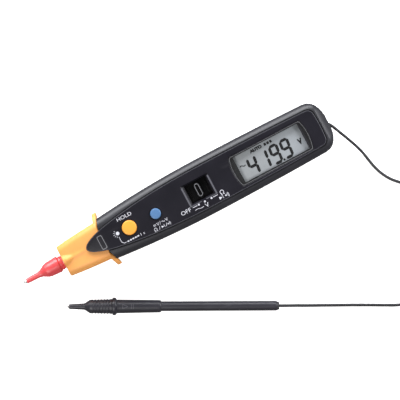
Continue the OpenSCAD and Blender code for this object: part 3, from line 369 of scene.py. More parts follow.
@dataclass(frozen=True)
class Ink:
    """Printed ink, also used for painted highlight lines on lit edges and crests: thin, slightly uneven, a
    little worn at random spots.
    """

    name: str
    colour: Colour
    wear: float = 0.35

    def make(self) -> bpy.types.Material:
        """Builds the material."""
        graph = Graph(self.name)
        pores = graph.noise(0.35, 4.0).ramp(0.55, 0.75)
        colour = graph.mix(linear(self.colour), tinted(self.colour, 0.6), pores * self.wear)
        return graph.surface({
            "Base Color": colour, "Roughness": 0.5 + pores * 0.15,
            "Normal": graph.bump(graph.noise(0.2), 0.004),
        })


@dataclass(frozen=True)
class Clear:
    """Clear moulded plastic or glass: mostly see-through, brighter and glossier at a slant."""

    name: str
    colour: Colour = (235, 240, 245)
    body: float = 0.07
    edge: float = 0.5

    def make(self) -> bpy.types.Material:
        """Builds the material."""
        graph = Graph(self.name)
        slant = graph.node("ShaderNodeLayerWeight", {}, {"Blend": 0.25}, "Fresnel")
        haze = graph.noise(5.0, 5.0).ramp(0.55, 0.8)
        return graph.surface({
            "Base Color": linear(self.colour), "Alpha": self.body + slant * self.edge + haze * 0.02,
            "Roughness": 0.04 + haze * 0.1, "IOR": 1.49,
        })


@dataclass(frozen=True)
class LiquidCrystal:
    """Reflective liquid crystal: pale grey film with a slightly cooler end and a faint sparkle."""

    name: str
    colour: Colour
    cool: Colour

    def make(self) -> bpy.types.Material:
        """Builds the material."""
        graph = Graph(self.name)
        along = graph.axis("X").ramp(35.0, 80.0)
        sparkle = graph.noise(0.15, 2.0)
        cloud = graph.noise(7.0, 3.0)
        film = graph.mix(linear(self.colour), linear(self.cool), along * 0.7 + cloud * 0.3)
        speckled = graph.mix(film, tinted(self.colour, 0.9), sparkle.ramp(0.5, 0.7) * 0.4)
        return graph.surface({
            "Base Color": speckled, "Roughness": 0.42 + cloud * 0.1, "Normal": graph.bump(sparkle, 0.003),
        })


class Finishes:
    """Every finish of the meter, made once and handed out by name."""

    TABLE: tuple = (
        Moulded("case_plastic", (34, 34, 39), 0.44),
        Moulded("panel_print", (22, 21, 27), 0.33, grain_mm=0.2, grain_depth=0.006, scuff=0.12,
                specular=0.22),
        Moulded("nose_orange", (238, 166, 86), 0.5, (232, 155, 76), 0.35, 0.015, 0.1),
        Moulded("cap_red", (224, 80, 84), 0.36, (214, 68, 72), 0.3, 0.006, 0.15, coat=0.25),
        Moulded("yellow_key", (234, 160, 58), 0.42, (228, 151, 52), 0.3, 0.006, 0.1),
        Moulded("blue_key", (78, 116, 160), 0.4, (72, 108, 150), 0.3, 0.006, 0.1),
        Moulded("switch_black", (8, 8, 9), 0.34, grain_depth=0.006, specular=0.12),
        Moulded("probe_black", (37, 36, 43), 0.38, grain_depth=0.006),
        Moulded("tie", (40, 40, 42), 0.55),
        Moulded("white_plastic", (222, 222, 216), 0.5),
        Moulded("strip_rubber", (190, 130, 150), 0.6),
        Moulded("board", (28, 92, 62), 0.4, coat=0.4),
        Moulded("chip", (26, 26, 28), 0.5),
        Moulded("resistor", (96, 140, 176), 0.35, coat=0.5),
        Moulded("blue_disc", (46, 92, 168), 0.3, coat=0.6),
        Metal("steel", (178, 180, 184), 0.34),
        Metal("brass", (202, 168, 96), 0.32, tarnish=(140, 112, 64)),
        Metal("nickel", (206, 205, 202), 0.26),
        Jacket("cord_jacket", (34, 34, 37)),
        Clear("lens_clear", (34, 36, 40), 0.03, 0.25),
        Clear("lamp_clear", (240, 244, 250), 0.35, 0.4),
        LiquidCrystal("lcd", (163, 166, 168), (170, 176, 182)),
        Ink("ink_white", (196, 196, 204)),
        # The grey inks also colour painted highlight lines on lit edges and crests.
        Ink("grey_print_and_highlight", (118, 118, 122)),
        Ink("dim_print_and_highlight", (80, 80, 87)),
        Ink("segment_black", (7, 8, 10), 0.1),
        Moulded("groove_dark", (14, 14, 16), 0.6, grain_depth=0.004, scuff=0.0),
    )

    def __init__(self) -> None:
        """Builds the materials."""
        self.made = {finish.name: finish.make() for finish in self.TABLE}

    def __getitem__(self, name: str) -> bpy.types.Material:
        """Hands out a material by its finish's name."""
        return self.made[name]


# Shapes


@dataclass
class Shape:
    """Points in millimetres and the faces between them."""

    points: Array
    faces: list[tuple[int, ...]]

    @staticmethod
    def joined(shapes: Iterable["Shape"]) -> "Shape":
        """Puts several shapes into one.

        Args:
            shapes: the shapes.

        Returns:
            One shape with all their points and faces.
        """
        points, faces, count = [], [], 0
        for shape in shapes:
            points.append(shape.points)
            faces += [tuple(i + count for i in face) for face in shape.faces]
            count += len(shape.points)
        return Shape(np.concatenate(points), faces)

    def placed(self, turn: Array | None = None, move: Sequence[float] = (0, 0, 0)) -> "Shape":
        """Turns by a 3 by 3 matrix, then moves."""
        points = self.points if turn is None else self.points @ np.asarray(turn).T
        return Shape(points + np.asarray(move, float), self.faces)

    def warped(self, change: Callable[[Array], Array]) -> "Shape":
        """Changes the points by a function of all of them."""
        return Shape(change(self.points.copy()), self.faces)


def loft(rings: Array, tips: bool = True, closed: bool = False) -> Shape:
    """Skins a row of closed rings: quad (i, j) joins point j of ring i to the next point and the next ring.

    Args:
        rings: array of shape (rings, points, 3).
        tips: closes both ends with a fan to the middle of the end ring.
        closed: joins the last ring to the first instead.

    Returns:
        The shape.
    """
    rows, cols = rings.shape[:2]
    count = rows if closed else rows - 1
    i, j = np.meshgrid(np.arange(count), np.arange(cols), indexing="ij")
    after, beside = (i + 1) % rows, (j + 1) % cols
    corners = [i * cols + j, i * cols + beside, after * cols + beside, after * cols + j]
    quads = np.stack(corners, -1).reshape(-1, 4)
    points = rings.reshape(-1, 3)
    faces = [tuple(q) for q in quads.tolist()]
    if tips and not closed:
        points = np.concatenate([points, rings[0].mean(0)[None], rings[-1].mean(0)[None]])
        first, last, base = rows * cols, rows * cols + 1, (rows - 1) * cols
        step = [(k, (k + 1) % cols) for k in range(cols)]
        faces += [(first, b, a) for a, b in step] + [(last, base + a, base + b) for a, b in step]
    return Shape(points, faces)


def run_of(line: Array) -> Array:
    """Distance along a line at each of its points."""
    return np.concatenate([[0], np.cumsum(np.linalg.norm(np.diff(line, axis=0), axis=1))])


def sampled(line: Array, at: Array) -> Array:
    """Points of a line at the given distances along it."""
    run = run_of(line)
    return np.stack([np.interp(at, run, line[:, k]) for k in range(line.shape[1])], 1)


def softened(profile: Sequence[Flat], radius: float, closed: bool = False,
             step: float = 0.08) -> Array:
    """Samples a polyline evenly and rounds its corners by a moving average over about the radius.

    Args:
        profile: the polyline's corners.
        radius: reach of the rounding in millimetres.
        closed: whether the last corner joins the first.
        step: distance between samples.

    Returns:
        The samples, with the ends of an open line kept in place.
    """
    corners = np.array(list(profile) + ([profile[0]] if closed else []), float)
    length = run_of(corners)[-1]
    count = max(8, int(length / step))
    line = sampled(corners, np.linspace(0, length, count, endpoint=not closed))
    reach = max(1, int(round(radius / (length / count))))
    weights = np.bartlett(2 * reach + 3)[1:-1]
    weights /= weights.sum()
    if closed:
        padded = np.concatenate([line[-reach:], line, line[:reach]])
    else:
        before, after = 2 * line[0] - line[reach:0:-1], 2 * line[-1] - line[-2:-reach - 2:-1]
        padded = np.concatenate([before, line, after])
    return np.stack([np.convolve(padded[:, k], weights, "valid") for k in range(2)], 1)


def thinned(line: Array, tolerance: float = 0.004) -> Array:
    """Drops the samples of a line where it runs straight, so that flat stretches take few rings.

    A sample stays where its distance from the chord between the samples kept round it passes the tolerance.

    Args:
        line: the samples.
        tolerance: that distance.

    Returns:
        The samples that stay.
    """
    keep = np.ones(len(line), bool)
    for stride in (1, 2, 4, 8, 16):
        kept = np.flatnonzero(keep)
        inner = kept[1:-1]
        before, after = line[kept[:-2]], line[kept[2:]]
        chord = after - before
        length = np.maximum(np.linalg.norm(chord, axis=1), 1e-9)
        off = line[inner] - before
        offset = np.abs(chord[:, 0] * off[:, 1] - chord[:, 1] * off[:, 0]) / length
        flat = (offset < tolerance) & (np.arange(len(inner)) % 2 == 0) & (length < 2.5)
        keep[inner[flat]] = False
    return line[keep]


def revolve(profile: Array, sides: int = 96, closed: bool = False) -> Shape:
    """Turns a profile of (x, radius) about the X axis: point (x, r cos a, r sin a) for each angle a.

    Args:
        profile: the samples; a closed profile makes a ring with a hole.
        sides: points in each turn.
        closed: whether the profile's last sample joins its first.

    Returns:
        The shape, its ends closed at the axis.
    """
    angle = np.linspace(0, 2 * math.pi, sides, endpoint=False)
    x = np.repeat(profile[:, :1], sides, 1)
    rings = np.stack([x, profile[:, 1:] * np.cos(angle), profile[:, 1:] * np.sin(angle)], -1)
    return loft(rings, tips=not closed, closed=closed)


def turn_about(axis: str, degrees: float) -> Array:
    """The matrix of a turn about the Y or the Z axis.

    Args:
        axis: "Y" or "Z".
        degrees: the angle, anticlockwise when seen from the axis's end.

    Returns:
        The 3 by 3 matrix.
    """
    c, s = math.cos(math.radians(degrees)), math.sin(math.radians(degrees))
    return np.array([[c, 0, s], [0, 1, 0], [-s, 0, c]] if axis == "Y" else [[c, -s, 0], [s, c, 0], [0, 0, 1]])


def upright(shape: Shape) -> Shape:
    """Turns a shape about the X axis so that it stands along the Z axis."""
    return shape.placed(np.array([[0, 1, 0], [0, 0, 1], [1, 0, 0]], float))


def inset(loop: Array, distance: float) -> Array:
    """Moves a loop to its left by a distance, each corner along its mitre.

    The mitre is the sum of both sides' unit normals over one plus their dot product.

    Args:
        loop: the loop's points.
        distance: how far it moves.

    Returns:
        The moved loop.
    """
    def unit(v: Array) -> Array:
        """Gives each vector the length one."""
        return v / np.maximum(np.linalg.norm(v, axis=1, keepdims=True), 1e-12)

    ahead = unit(np.roll(loop, -1, 0) - loop)
    behind = np.roll(ahead, 1, 0)
    left_ahead = np.stack([-ahead[:, 1], ahead[:, 0]], 1)
    left_behind = np.stack([-behind[:, 1], behind[:, 0]], 1)
    dot = np.clip((left_ahead * left_behind).sum(1, keepdims=True), -0.7, 1)
    return loop + distance * (left_ahead + left_behind) / (1 + dot)


@dataclass(frozen=True)
class Turned:
    """A turned piece: its finish, the softening of its corners, its profile of (x, radius) and its place."""

    name: str
    node: str
    finish: str
    soften: float
    profile: Sequence[Flat]
    body: Body = Body.METER
    closed: bool = True
    height: float = 0.0

    def shape(self, step: float, tolerance: float, sides: int) -> Shape:
        """Turns the profile about the X axis and lifts it to its height.

        Args:
            step: distance between the profile's samples.
            tolerance: how far dropped samples may lie off the line.
            sides: points in each turn.

        Returns:
            The shape.
        """
        line = thinned(softened(self.profile, self.soften, self.closed, step), tolerance)
        return revolve(line, sides, self.closed).placed(move=(0, 0, self.height))


@dataclass
class Rim:
    """One edge of a plate: rings from the plate's top to its bottom, all with as many points."""

    rings: list[Array]

    @staticmethod
    def rounded(loop: Array, low: float, high: float, radius: float, steps: int = 5) -> "Rim":
        """Rounds the top edge by a quarter round: inset r(1 - sin a) at the height high - r(1 - cos a).

        Args:
            loop: the plate's outline there, its material on the left.
            low: lowest level.
            high: highest level.
            radius: radius of the top edge.
            steps: parts of the quarter round.

        Returns:
            The rim.
        """
        rings = []
        for angle in np.linspace(0, math.pi / 2, steps + 1):
            drawn_in = inset(loop, radius * (1 - math.sin(angle)))
            rings.append(with_level(drawn_in, high - radius * (1 - math.cos(angle))))
        return Rim([*rings, with_level(loop, low)])


def with_level(loop: Array, level: float) -> Array:
    """Adds a height to a flat loop."""
    return np.column_stack([loop, np.full(len(loop), level)])


def inside(loop: Array, points: Array) -> Array:
    """Tells which points lie inside a loop, by counting the sides that a ray along +X crosses.

    Args:
        loop: the flat loop.
        points: the points to be tried.

    Returns:
        One truth value for each point.
    """
    x, y = points[:, None, 0], points[:, None, 1]
    ax, ay = loop[None, :, 0], loop[None, :, 1]
    bx, by = np.roll(loop[:, 0], -1)[None], np.roll(loop[:, 1], -1)[None]
    crosses = (ay > y) != (by > y)
    slope = np.where(by == ay, 1e-12, by - ay)
    return (crosses & (x < (bx - ax) * (y - ay) / slope + ax)).sum(1) % 2 == 1


def within(loops: list[Array], points: Array) -> Array:
    """Tells which points lie inside the first loop and outside the others.

    Args:
        loops: the outer outline, then those of the holes.
        points: the points to test, (n, 2).

    Returns:
        One truth value for each point.
    """
    clear = inside(loops[0], points)
    for loop in loops[1:]:
        clear &= ~inside(loop, points)
    return clear


def net_points(loops: list[Array], grid: float) -> Array:
    """Points of a square net inside the first loop, outside the others and clear of their points.

    Args:
        loops: the flat loops.
        grid: spacing of the net.

    Returns:
        The points.
    """
    low, high = loops[0].min(0), loops[0].max(0)
    across, along = np.arange(low[0], high[0], grid), np.arange(low[1], high[1], grid)
    net = np.stack(np.meshgrid(across, along), -1).reshape(-1, 2)
    net = net[within(loops, net)]
    apart = np.linalg.norm(net[:, None] - np.concatenate(loops)[None], axis=2)
    return net[np.min(apart, 1) > grid * 0.35]


def cap(loops: list[Array], grid: float, down: bool = False) -> Shape:
    """Fills the flat area inside the first loop and outside the others with triangles.

    Args:
        loops: closed loops of (x, y, z) at one level.
        grid: spacing of the net's inner points, 0 for none.
        down: whether the faces look down.

    Returns:
        The net.
    """
    flat = [loop[:, :2] for loop in loops]
    edges, start = [], 0
    for loop in flat:
        count = len(loop)
        edges += [(start + k, start + (k + 1) % count) for k in range(count)]
        start += count
    points = np.concatenate([*flat, net_points(flat, grid)] if grid else flat)
    verts, _, faces, *_ = delaunay_2d_cdt([Vector(p) for p in points.tolist()], edges, [], 0, 1e-5)
    verts = np.array([tuple(v) for v in verts])
    faces = np.array([tuple(f) for f in faces])
    faces = faces[within(flat, verts[faces].mean(1))]
    corners = verts[faces]
    area = np.cross(corners[:, 1] - corners[:, 0], corners[:, 2] - corners[:, 0])
    good = np.abs(area) > 1e-9
    faces, area = faces[good], area[good]
    faces = np.where(((area < 0) != down)[:, None], faces[:, ::-1], faces)
    return Shape(with_level(verts, float(loops[0][0, 2])), [tuple(f) for f in faces.tolist()])


def plate(rims: list[Rim], grid: float = 0.0) -> Shape:
    """Builds a plate from its outer rim and the rims of its holes: two nets and a strip along each rim.

    Args:
        rims: the outer rim, then those of the holes.
        grid: distance of the nets' points; 0 leaves the faces without a net.

    Returns:
        The closed plate.
    """
    top, bottom = [rim.rings[0] for rim in rims], [rim.rings[-1] for rim in rims]
    sides = [loft(np.stack(rim.rings), tips=False) for rim in rims]
    return Shape.joined([cap(top, grid), cap(bottom, grid, down=True), *sides])


def trim(outer: Array, inner: Array, low: float, high: float) -> Shape:
    """A thin band between an outer loop and a hole's loop, from one level to the other."""
    return plate([Rim([with_level(loop, high), with_level(loop, low)]) for loop in (outer, inner)])


def crosswise(loop: Array) -> Array:
    """Turns a loop by a quarter turn."""
    return loop @ np.array([[0, 1], [-1, 0]])


def rectangle(length: float, width: float, middle: Sequence[float] = (0, 0)) -> Array:
    """Corners of a rectangle, anticlockwise."""
    x, y = length / 2, width / 2
    return np.array([(-x, -y), (x, -y), (x, y), (-x, y)], float) + np.asarray(middle, float)


def circle(radius: float, middle: Sequence[float] = (0, 0), sides: int = 72) -> Array:
    """Points of a circle, anticlockwise."""
    angle = np.linspace(0, 2 * math.pi, sides, endpoint=False)
    return np.stack([np.cos(angle), np.sin(angle)], 1) * radius + np.asarray(middle, float)


def stadium(length: float, width: float, sides: int = 24) -> Array:
    """Outline of a bar with round ends, lying along X, anticlockwise.

    Args:
        length: along X, over both ends.
        width: across, which is also the ends' diameter.
        sides: points of each end.

    Returns:
        The outline's points, (n, 2).
    """
    angle = np.linspace(-math.pi / 2, math.pi / 2, sides)
    end = np.stack([np.cos(angle), np.sin(angle)], 1) * width / 2 + (length / 2 - width / 2, 0)
    return np.concatenate([end, -end])


def ribbon(line: Sequence[Flat], width: float) -> Array:
    """Outline of a stroke with mitred corners and square ends: the line moved half the width to each side.

    Args:
        line: the stroke's points.
        width: its width.

    Returns:
        The outline, anticlockwise.
    """
    path = np.array(line, float)
    ahead = np.diff(path, axis=0)
    ahead /= np.linalg.norm(ahead, axis=1, keepdims=True)
    left = np.stack([-ahead[:, 1], ahead[:, 0]], 1)
    first, last = left[:1], left[-1:]
    joint = (left[:-1] + left[1:]) / (1 + (left[:-1] * left[1:]).sum(1, keepdims=True))
    side = np.concatenate([first, joint, last]) * width / 2
    return np.concatenate([path - side, (path + side)[::-1]])


def stamped(loops: list[Array], low: float, high: float) -> Shape:
    """Thin marks: each loop becomes a plate between two levels.

    Args:
        loops: outlines of the marks.
        low: level of their underside.
        high: level of their face.

    Returns:
        All the marks as one shape.
    """
    return Shape.joined(
        plate([Rim([with_level(loop, high), with_level(loop, low)])]) for loop in loops
    )


def lettering(text: str, box: tuple[float, float, float, float], low: float, high: float,
              slant: float = 0.0, bold: float = 0.02) -> Shape:
    """Sets a generic mark in the plain built-in letters and stretches it into a box on the face.

    Args:
        text: the mark.
        box: lowest x, highest x, lowest y and highest y.
        low: lowest level.
        high: highest level.
        slant: sideways lean for each unit of height.
        bold: how far the letters' outlines move out, in letter heights.

    Returns:
        The letters as one shape.
    """
    curve = bpy.data.curves.new("mark", "FONT")
    curve.body, curve.extrude, curve.resolution_u, curve.offset = text, 0.1, 4, bold
    holder = bpy.data.objects.new("mark", curve)
    bpy.context.scene.collection.objects.link(holder)
    bpy.context.view_layer.update()
    mesh = holder.evaluated_get(bpy.context.evaluated_depsgraph_get()).to_mesh()
    points = np.empty(len(mesh.vertices) * 3)
    mesh.vertices.foreach_get("co", points)
    points = points.reshape(-1, 3)
    faces = [tuple(p.vertices) for p in mesh.polygons]
    holder.to_mesh_clear()
    bpy.data.objects.remove(holder)
    bpy.data.curves.remove(curve)
    least, most = points.min(0), points.max(0)
    share = (points - least) / np.maximum(most - least, 1e-9)
    x = box[0] + share[:, 0] * (box[1] - box[0]) + slant * share[:, 1] * (box[3] - box[2])
    y = box[2] + share[:, 1] * (box[3] - box[2])
    return Shape(np.stack([x, y, low + share[:, 2] * (high - low)], 1), faces)


def smooth_line(route: Sequence[Sequence[float]], step: float) -> Array:
    """Runs one smooth line through the route's points, sampled every step.

    Each stretch is a cubic whose end slopes are the slopes of both neighbouring chords, weighed by the other
    chord's length; the samples are then spaced evenly along the line.

    Args:
        route: the points that the line runs through.
        step: distance between samples.

    Returns:
        The samples.
    """
    points = np.array(route, float)
    chord = np.diff(points, axis=0)
    length = np.linalg.norm(chord, axis=1, keepdims=True)
    slope = chord / length
    inner = (slope[:-1] * length[1:] + slope[1:] * length[:-1]) / (length[1:] + length[:-1])
    slopes = np.concatenate([slope[:1], inner, slope[-1:]])
    t = np.linspace(0, 1, 24, endpoint=False)[None, :, None]
    a, b = points[:-1, None], points[1:, None]
    u, v = slopes[:-1, None] * length[:, None], slopes[1:, None] * length[:, None]
    leave, reach = 2 * t**3 - 3 * t**2 + 1, 3 * t**2 - 2 * t**3
    fine = a * leave + u * (t**3 - 2 * t**2 + t) + b * reach + v * (t**3 - t**2)
    fine = np.concatenate([fine.reshape(-1, 3), points[-1:]])
    length = run_of(fine)[-1]
    return sampled(fine, np.linspace(0, length, max(2, int(round(length / step))) + 1))


def tube(path: Array, radius: float | Array, sides: int = 14) -> Shape:
    """Carries a circle along a path: centre + r(cos a * side + sin a * up), with side level and square to it.

    Args:
        path: the centres.
        radius: r, one for all or one for each centre.
        sides: points in each circle.

    Returns:
        The tube with its ends closed.
    """
    along = np.gradient(path, axis=0)
    along /= np.linalg.norm(along, axis=1, keepdims=True)
    side = np.cross((0, 0, 1), along)
    side /= np.linalg.norm(side, axis=1, keepdims=True)
    up = np.cross(along, side)
    angle = np.linspace(0, 2 * math.pi, sides, endpoint=False)[None, :, None]
    reach = np.broadcast_to(np.asarray(radius, float), (len(path),))[:, None, None]
    return loft(path[:, None] + reach * (np.cos(angle) * side[:, None] + np.sin(angle) * up[:, None]))


# Making pieces


class Workshop:
    """Turns shapes into pieces of the model: loads the frame, makes meshes, dresses and places them."""

    def __init__(self) -> None:
        """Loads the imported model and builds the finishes."""
        self.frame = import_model()
        self.cad_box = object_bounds()
        self.nodes = self.frame["nodes"]
        self.finishes = Finishes()
        self.dressed: set[str] = set()

    def make(self, name: str, shape: Shape, body: Body, finish: str, replaces: Sequence[str] = (),
             smooth: float = 32.0, slot: str | None = None) -> bpy.types.Object:
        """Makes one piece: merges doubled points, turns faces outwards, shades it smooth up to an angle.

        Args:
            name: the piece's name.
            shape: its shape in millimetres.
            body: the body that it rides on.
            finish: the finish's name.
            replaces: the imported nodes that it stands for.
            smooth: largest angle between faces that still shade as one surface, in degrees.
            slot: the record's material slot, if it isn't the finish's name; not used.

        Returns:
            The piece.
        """
        mesh = bpy.data.meshes.new(name)
        mesh.from_pydata((shape.points * MM).tolist(), [], shape.faces)
        self._tidy(mesh)
        mesh.shade_smooth()
        mesh.set_sharp_from_angle(angle=math.radians(smooth))
        piece = bpy.data.objects.new(name, mesh)
        bpy.context.scene.collection.objects.link(piece)
        mesh.materials.append(self.finishes[finish])
        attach(piece, body.value)
        if replaces:
            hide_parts(*replaces)
            self.dressed.update(replaces)
        LOG.info("%s: %d faces on %s", name, len(mesh.polygons), body.value)
        return piece

    @staticmethod
    def _tidy(mesh: bpy.types.Mesh) -> None:
        """Merges doubled points, drops faces without area and turns the rest outwards.

        Args:
            mesh: the mesh to be tidied.
        """
        net = bmesh.new()
        net.from_mesh(mesh)
        bmesh.ops.remove_doubles(net, verts=net.verts, dist=MERGE)
        bmesh.ops.dissolve_degenerate(net, edges=net.edges, dist=SLIVER)
        bmesh.ops.recalc_face_normals(net, faces=net.faces)
        net.to_mesh(mesh)
        net.free()

    def copy_of(self, node: str) -> Shape:
        """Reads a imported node's triangles into a shape with its doubled points merged.

        Args:
            node: the node's name.

        Returns:
            The shape in millimetres.
        """
        mesh = self.nodes[node].data
        points = np.empty(len(mesh.vertices) * 3)
        mesh.vertices.foreach_get("co", points)
        mesh.calc_loop_triangles()
        corners = np.empty(len(mesh.loop_triangles) * 3, int)
        mesh.loop_triangles.foreach_get("vertices", corners)
        keys = np.round(points.reshape(-1, 3) / COPY_STEP).astype(np.int64)
        _, first, merged = np.unique(keys, axis=0, return_index=True, return_inverse=True)
        faces = merged.reshape(-1)[corners].reshape(-1, 3)
        good = (faces[:, 0] != faces[:, 1]) & (faces[:, 1] != faces[:, 2]) & (faces[:, 0] != faces[:, 2])
        return Shape(points.reshape(-1, 3)[first] / MM, [tuple(f) for f in faces[good].tolist()])

    def moulding(self, name: str, node: str, body: Body, finish: str,
                 smooth: float = 32.0) -> bpy.types.Object:
        """Makes a smooth-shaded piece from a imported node's own shape."""
        return self.make(name, self.copy_of(node), body, finish, (node,), smooth)

    def dress(self, node: str, finish: str) -> None:
        """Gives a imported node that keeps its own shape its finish.

        Args:
            node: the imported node's name.
            finish: name of its finish.
        """
        data = self.nodes[node].data
        data.materials.clear()
        data.materials.append(self.finishes[finish])
        self.dressed.add(node)


@dataclass(frozen=True)
class Lamp:
    """A rectangular area lamp aimed at the meter: place, size and target in millimetres, power in watts."""

    name: str
    place: Point
    size: Flat
    power: float
    colour: Colour
    target: Point = (0, 0, 10)

    def hang(self) -> None:
        """Adds the lamp to the scene."""
        data = bpy.data.lights.new(self.name, "AREA")
        data.shape, data.energy, data.color = "RECTANGLE", self.power, self.colour
        data.size, data.size_y = (side * MM for side in self.size)
        lamp = bpy.data.objects.new(self.name, data)
        bpy.context.scene.collection.objects.link(lamp)
        lamp.location = Vector(self.place) * MM
        lamp.rotation_mode = "QUATERNION"
        lamp.rotation_quaternion = (Vector(self.target) - Vector(self.place)).to_track_quat("-Z", "Y")


@dataclass
class Studio:
    """Camera straight over the meter as in the photograph, three soft lamps and a pale floor."""

    middle: Flat = (11.96, -5.1)
    across: Point = (0.8828, -0.4697, 0.0)
    upward: Point = (0.4697, 0.8828, 0.0)
    height: float = 1500.0
    frame_width: float = 211.6
    level: float = 14.0
    sensor: float = 36.0
    ambient: float = 0.24
    floor_reach: float = 3000.0
    floor_drop: float = 0.05
    floor_grey: float = 0.9
    floor_glow: float = 0.85
    lamps: tuple[Lamp, ...] = (
        Lamp("key_lamp", (60, 650, 310), (900, 460), 12.5, (0.96, 0.975, 1.0)),
        Lamp("fill_lamp", (-420, -260, 640), (420, 420), 3.0, (1.0, 0.99, 0.97)),
        Lamp("rim_lamp", (620, -20, 330), (360, 300), 4.4, (0.97, 0.98, 1.0)),
    )

    def build(self) -> None:
        """Sets the camera, the lamps, the world and the floor."""
        self._camera()
        for lamp in self.lamps:
            lamp.hang()
        self._world()
        self._floor()
        bpy.context.scene.view_settings.view_transform = "Standard"

    def _camera(self) -> None:
        """Places the camera so that the frame's width fits at the meter's level."""
        data = bpy.data.cameras.new("camera")
        data.sensor_width = self.sensor
        data.lens = self.sensor * (self.height - self.level) / self.frame_width
        data.clip_start, data.clip_end = 0.01, 20.0
        camera = bpy.data.objects.new("camera", data)
        bpy.context.scene.collection.objects.link(camera)
        turn = Matrix((self.across, self.upward, (0, 0, 1))).transposed()
        camera.matrix_world = Matrix.Translation(Vector((*self.middle, self.height)) * MM) @ turn.to_4x4()
        bpy.context.scene.camera = camera

    def _world(self) -> None:
        """White to the camera, also through clear parts, and a softer white as light."""
        world = Graph("studio", world=True)
        seen = world.node("ShaderNodeLightPath", output="Is Camera Ray")
        through = world.node("ShaderNodeLightPath", output="Is Transmission Ray")
        strength = seen.most(through).most(self.ambient)
        sky = world.node("ShaderNodeBackground", {}, {"Color": WHITE, "Strength": strength})
        bpy.context.scene.world = world.close(sky)

    def _floor(self) -> None:
        """A pale floor that the camera sees nearly white, with the object's soft shadow."""
        x, z = self.floor_reach * MM, -self.floor_drop * MM
        mesh = bpy.data.meshes.new("floor")
        mesh.from_pydata([(-x, -x, z), (x, -x, z), (x, x, z), (-x, x, z)], [], [(0, 1, 2, 3)])
        floor = bpy.data.objects.new("floor", mesh)
        bpy.context.scene.collection.objects.link(floor)
        graph = Graph("pale_floor")
        seen = graph.node("ShaderNodeLightPath", output="Is Camera Ray")
        shiny = graph.node("ShaderNodeLightPath", output="Is Glossy Ray")
        grey = (self.floor_grey, self.floor_grey, self.floor_grey, 1)
        diffuse = graph.node("ShaderNodeBsdfDiffuse", {}, {"Color": grey})
        glow = graph.node("ShaderNodeEmission", {}, {"Color": WHITE, "Strength": seen * self.floor_glow})
        pale = graph.node("ShaderNodeAddShader", {}, {0: diffuse, 1: glow})
        dim = graph.node("ShaderNodeEmission", {}, {"Color": WHITE, "Strength": self.ambient})
        both = graph.node("ShaderNodeMixShader", {}, {0: shiny, 1: pale, 2: dim})
        mesh.materials.append(graph.close(both))
        floor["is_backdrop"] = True


# The meter and its lead


@dataclass(frozen=True)
class Places:
    """Places along the meter, widths and levels over its back, in millimetres, and outlines from them."""

    tip: float = -91.0
    tongue: float = -53.0
    tongue_length: float = 12.0
    tongue_half: float = 6.2
    tongue_drop: float = 2.5
    slope_length: float = 10.2
    front: float = -42.8
    case: float = -41.0
    half_width: float = 15.0
    widest: float = 60.0
    front_loss: float = 3.2
    rear_loss: float = 0.9
    rear_length: float = 63.5
    shoulder: float = 3.75
    waist: float = 1.85
    panel_rear: float = 85.8
    corner: float = 3.5
    rear_bow: float = 0.3
    pin: float = 9.5
    parting: float = 10.0
    glass: float = 22.1
    lens_half_length: float = 22.3
    lens_half_width: float = 8.5
    lens_bow: float = 26.0
    seat: float = 24.0
    face: float = 25.5
    display: Flat = (56.3, -1.0)
    hold: Flat = (-27.6, -0.5)
    select: Flat = (-12.0, -0.5)
    switch: float = 13.8

    def half(self, x: Array) -> Array:
        """Half the case's width: less than its most by squares of the distance from the widest place.

        Args:
            x: places along the meter.

        Returns:
            Half the width at each.
        """
        run = x - self.case
        front = self.front_loss * ((self.widest - run) / self.widest) ** 2
        rear = self.rear_loss * ((run - self.widest) / self.rear_length) ** 2
        return self.half_width - np.where(run < self.widest, front, rear)

    def panel_half(self, x: Array) -> Array:
        """Half the panel's width: the case's less the shoulder, drawn in by cubes towards the front."""
        drawn_in = np.maximum(0, 1 - (x - self.case) / self.widest) ** 3
        return self.half(x) - self.shoulder - self.waist * drawn_in

    def panel_outline(self) -> Array:
        """The panel's outline, anticlockwise: a pointed tongue, long bowed sides and round rear corners."""
        share = np.linspace(0, 1, 22, endpoint=False)
        tongue = np.stack([self.tongue + self.tongue_length * share**2, self.tongue_half * share], 1)
        rear, radius = self.panel_rear - self.corner, self.corner
        x = np.linspace(self.case, rear, 70)
        side = np.stack([x, self.panel_half(x)], 1)
        half = float(self.panel_half(np.array(rear)))
        angle = np.radians(np.linspace(85, 0, 14))
        corner = np.stack([rear + radius * np.cos(angle), half - radius + radius * np.sin(angle)], 1)
        y = np.linspace(half - radius, 0, 12)[1:]
        end = np.stack([self.panel_rear + self.rear_bow * (1 - (y / (half - radius)) ** 2), y], 1)
        upper = np.concatenate([tongue, side, corner, end])
        return np.concatenate([upper[-2:0:-1] * (1, -1), upper])[::-1]

    def lens_outline(self, grow: float = 0.0) -> Array:
        """The lens's outline: two straight sides between bowed ends, with rounded corners.

        Args:
            grow: how far it moves out.

        Returns:
            The outline, anticlockwise.
        """
        half = self.lens_half_width + grow
        y = np.linspace(-half, half, 40)
        x = self.lens_half_length + grow - (self.lens_bow - np.sqrt(self.lens_bow**2 - y**2))
        right = np.stack([x, y], 1)
        return softened([*right.tolist(), *(-right).tolist()], 0.7, closed=True, step=0.45) + self.display

    def sloped(self, points: Array) -> Array:
        """Lowers the points ahead of the case's front edge along the tongue's slope."""
        points[:, 2] -= self.tongue_drop / self.slope_length * np.maximum(0, self.front - points[:, 0])
        return points


# The one set of places that every piece below is built on
AT = Places()


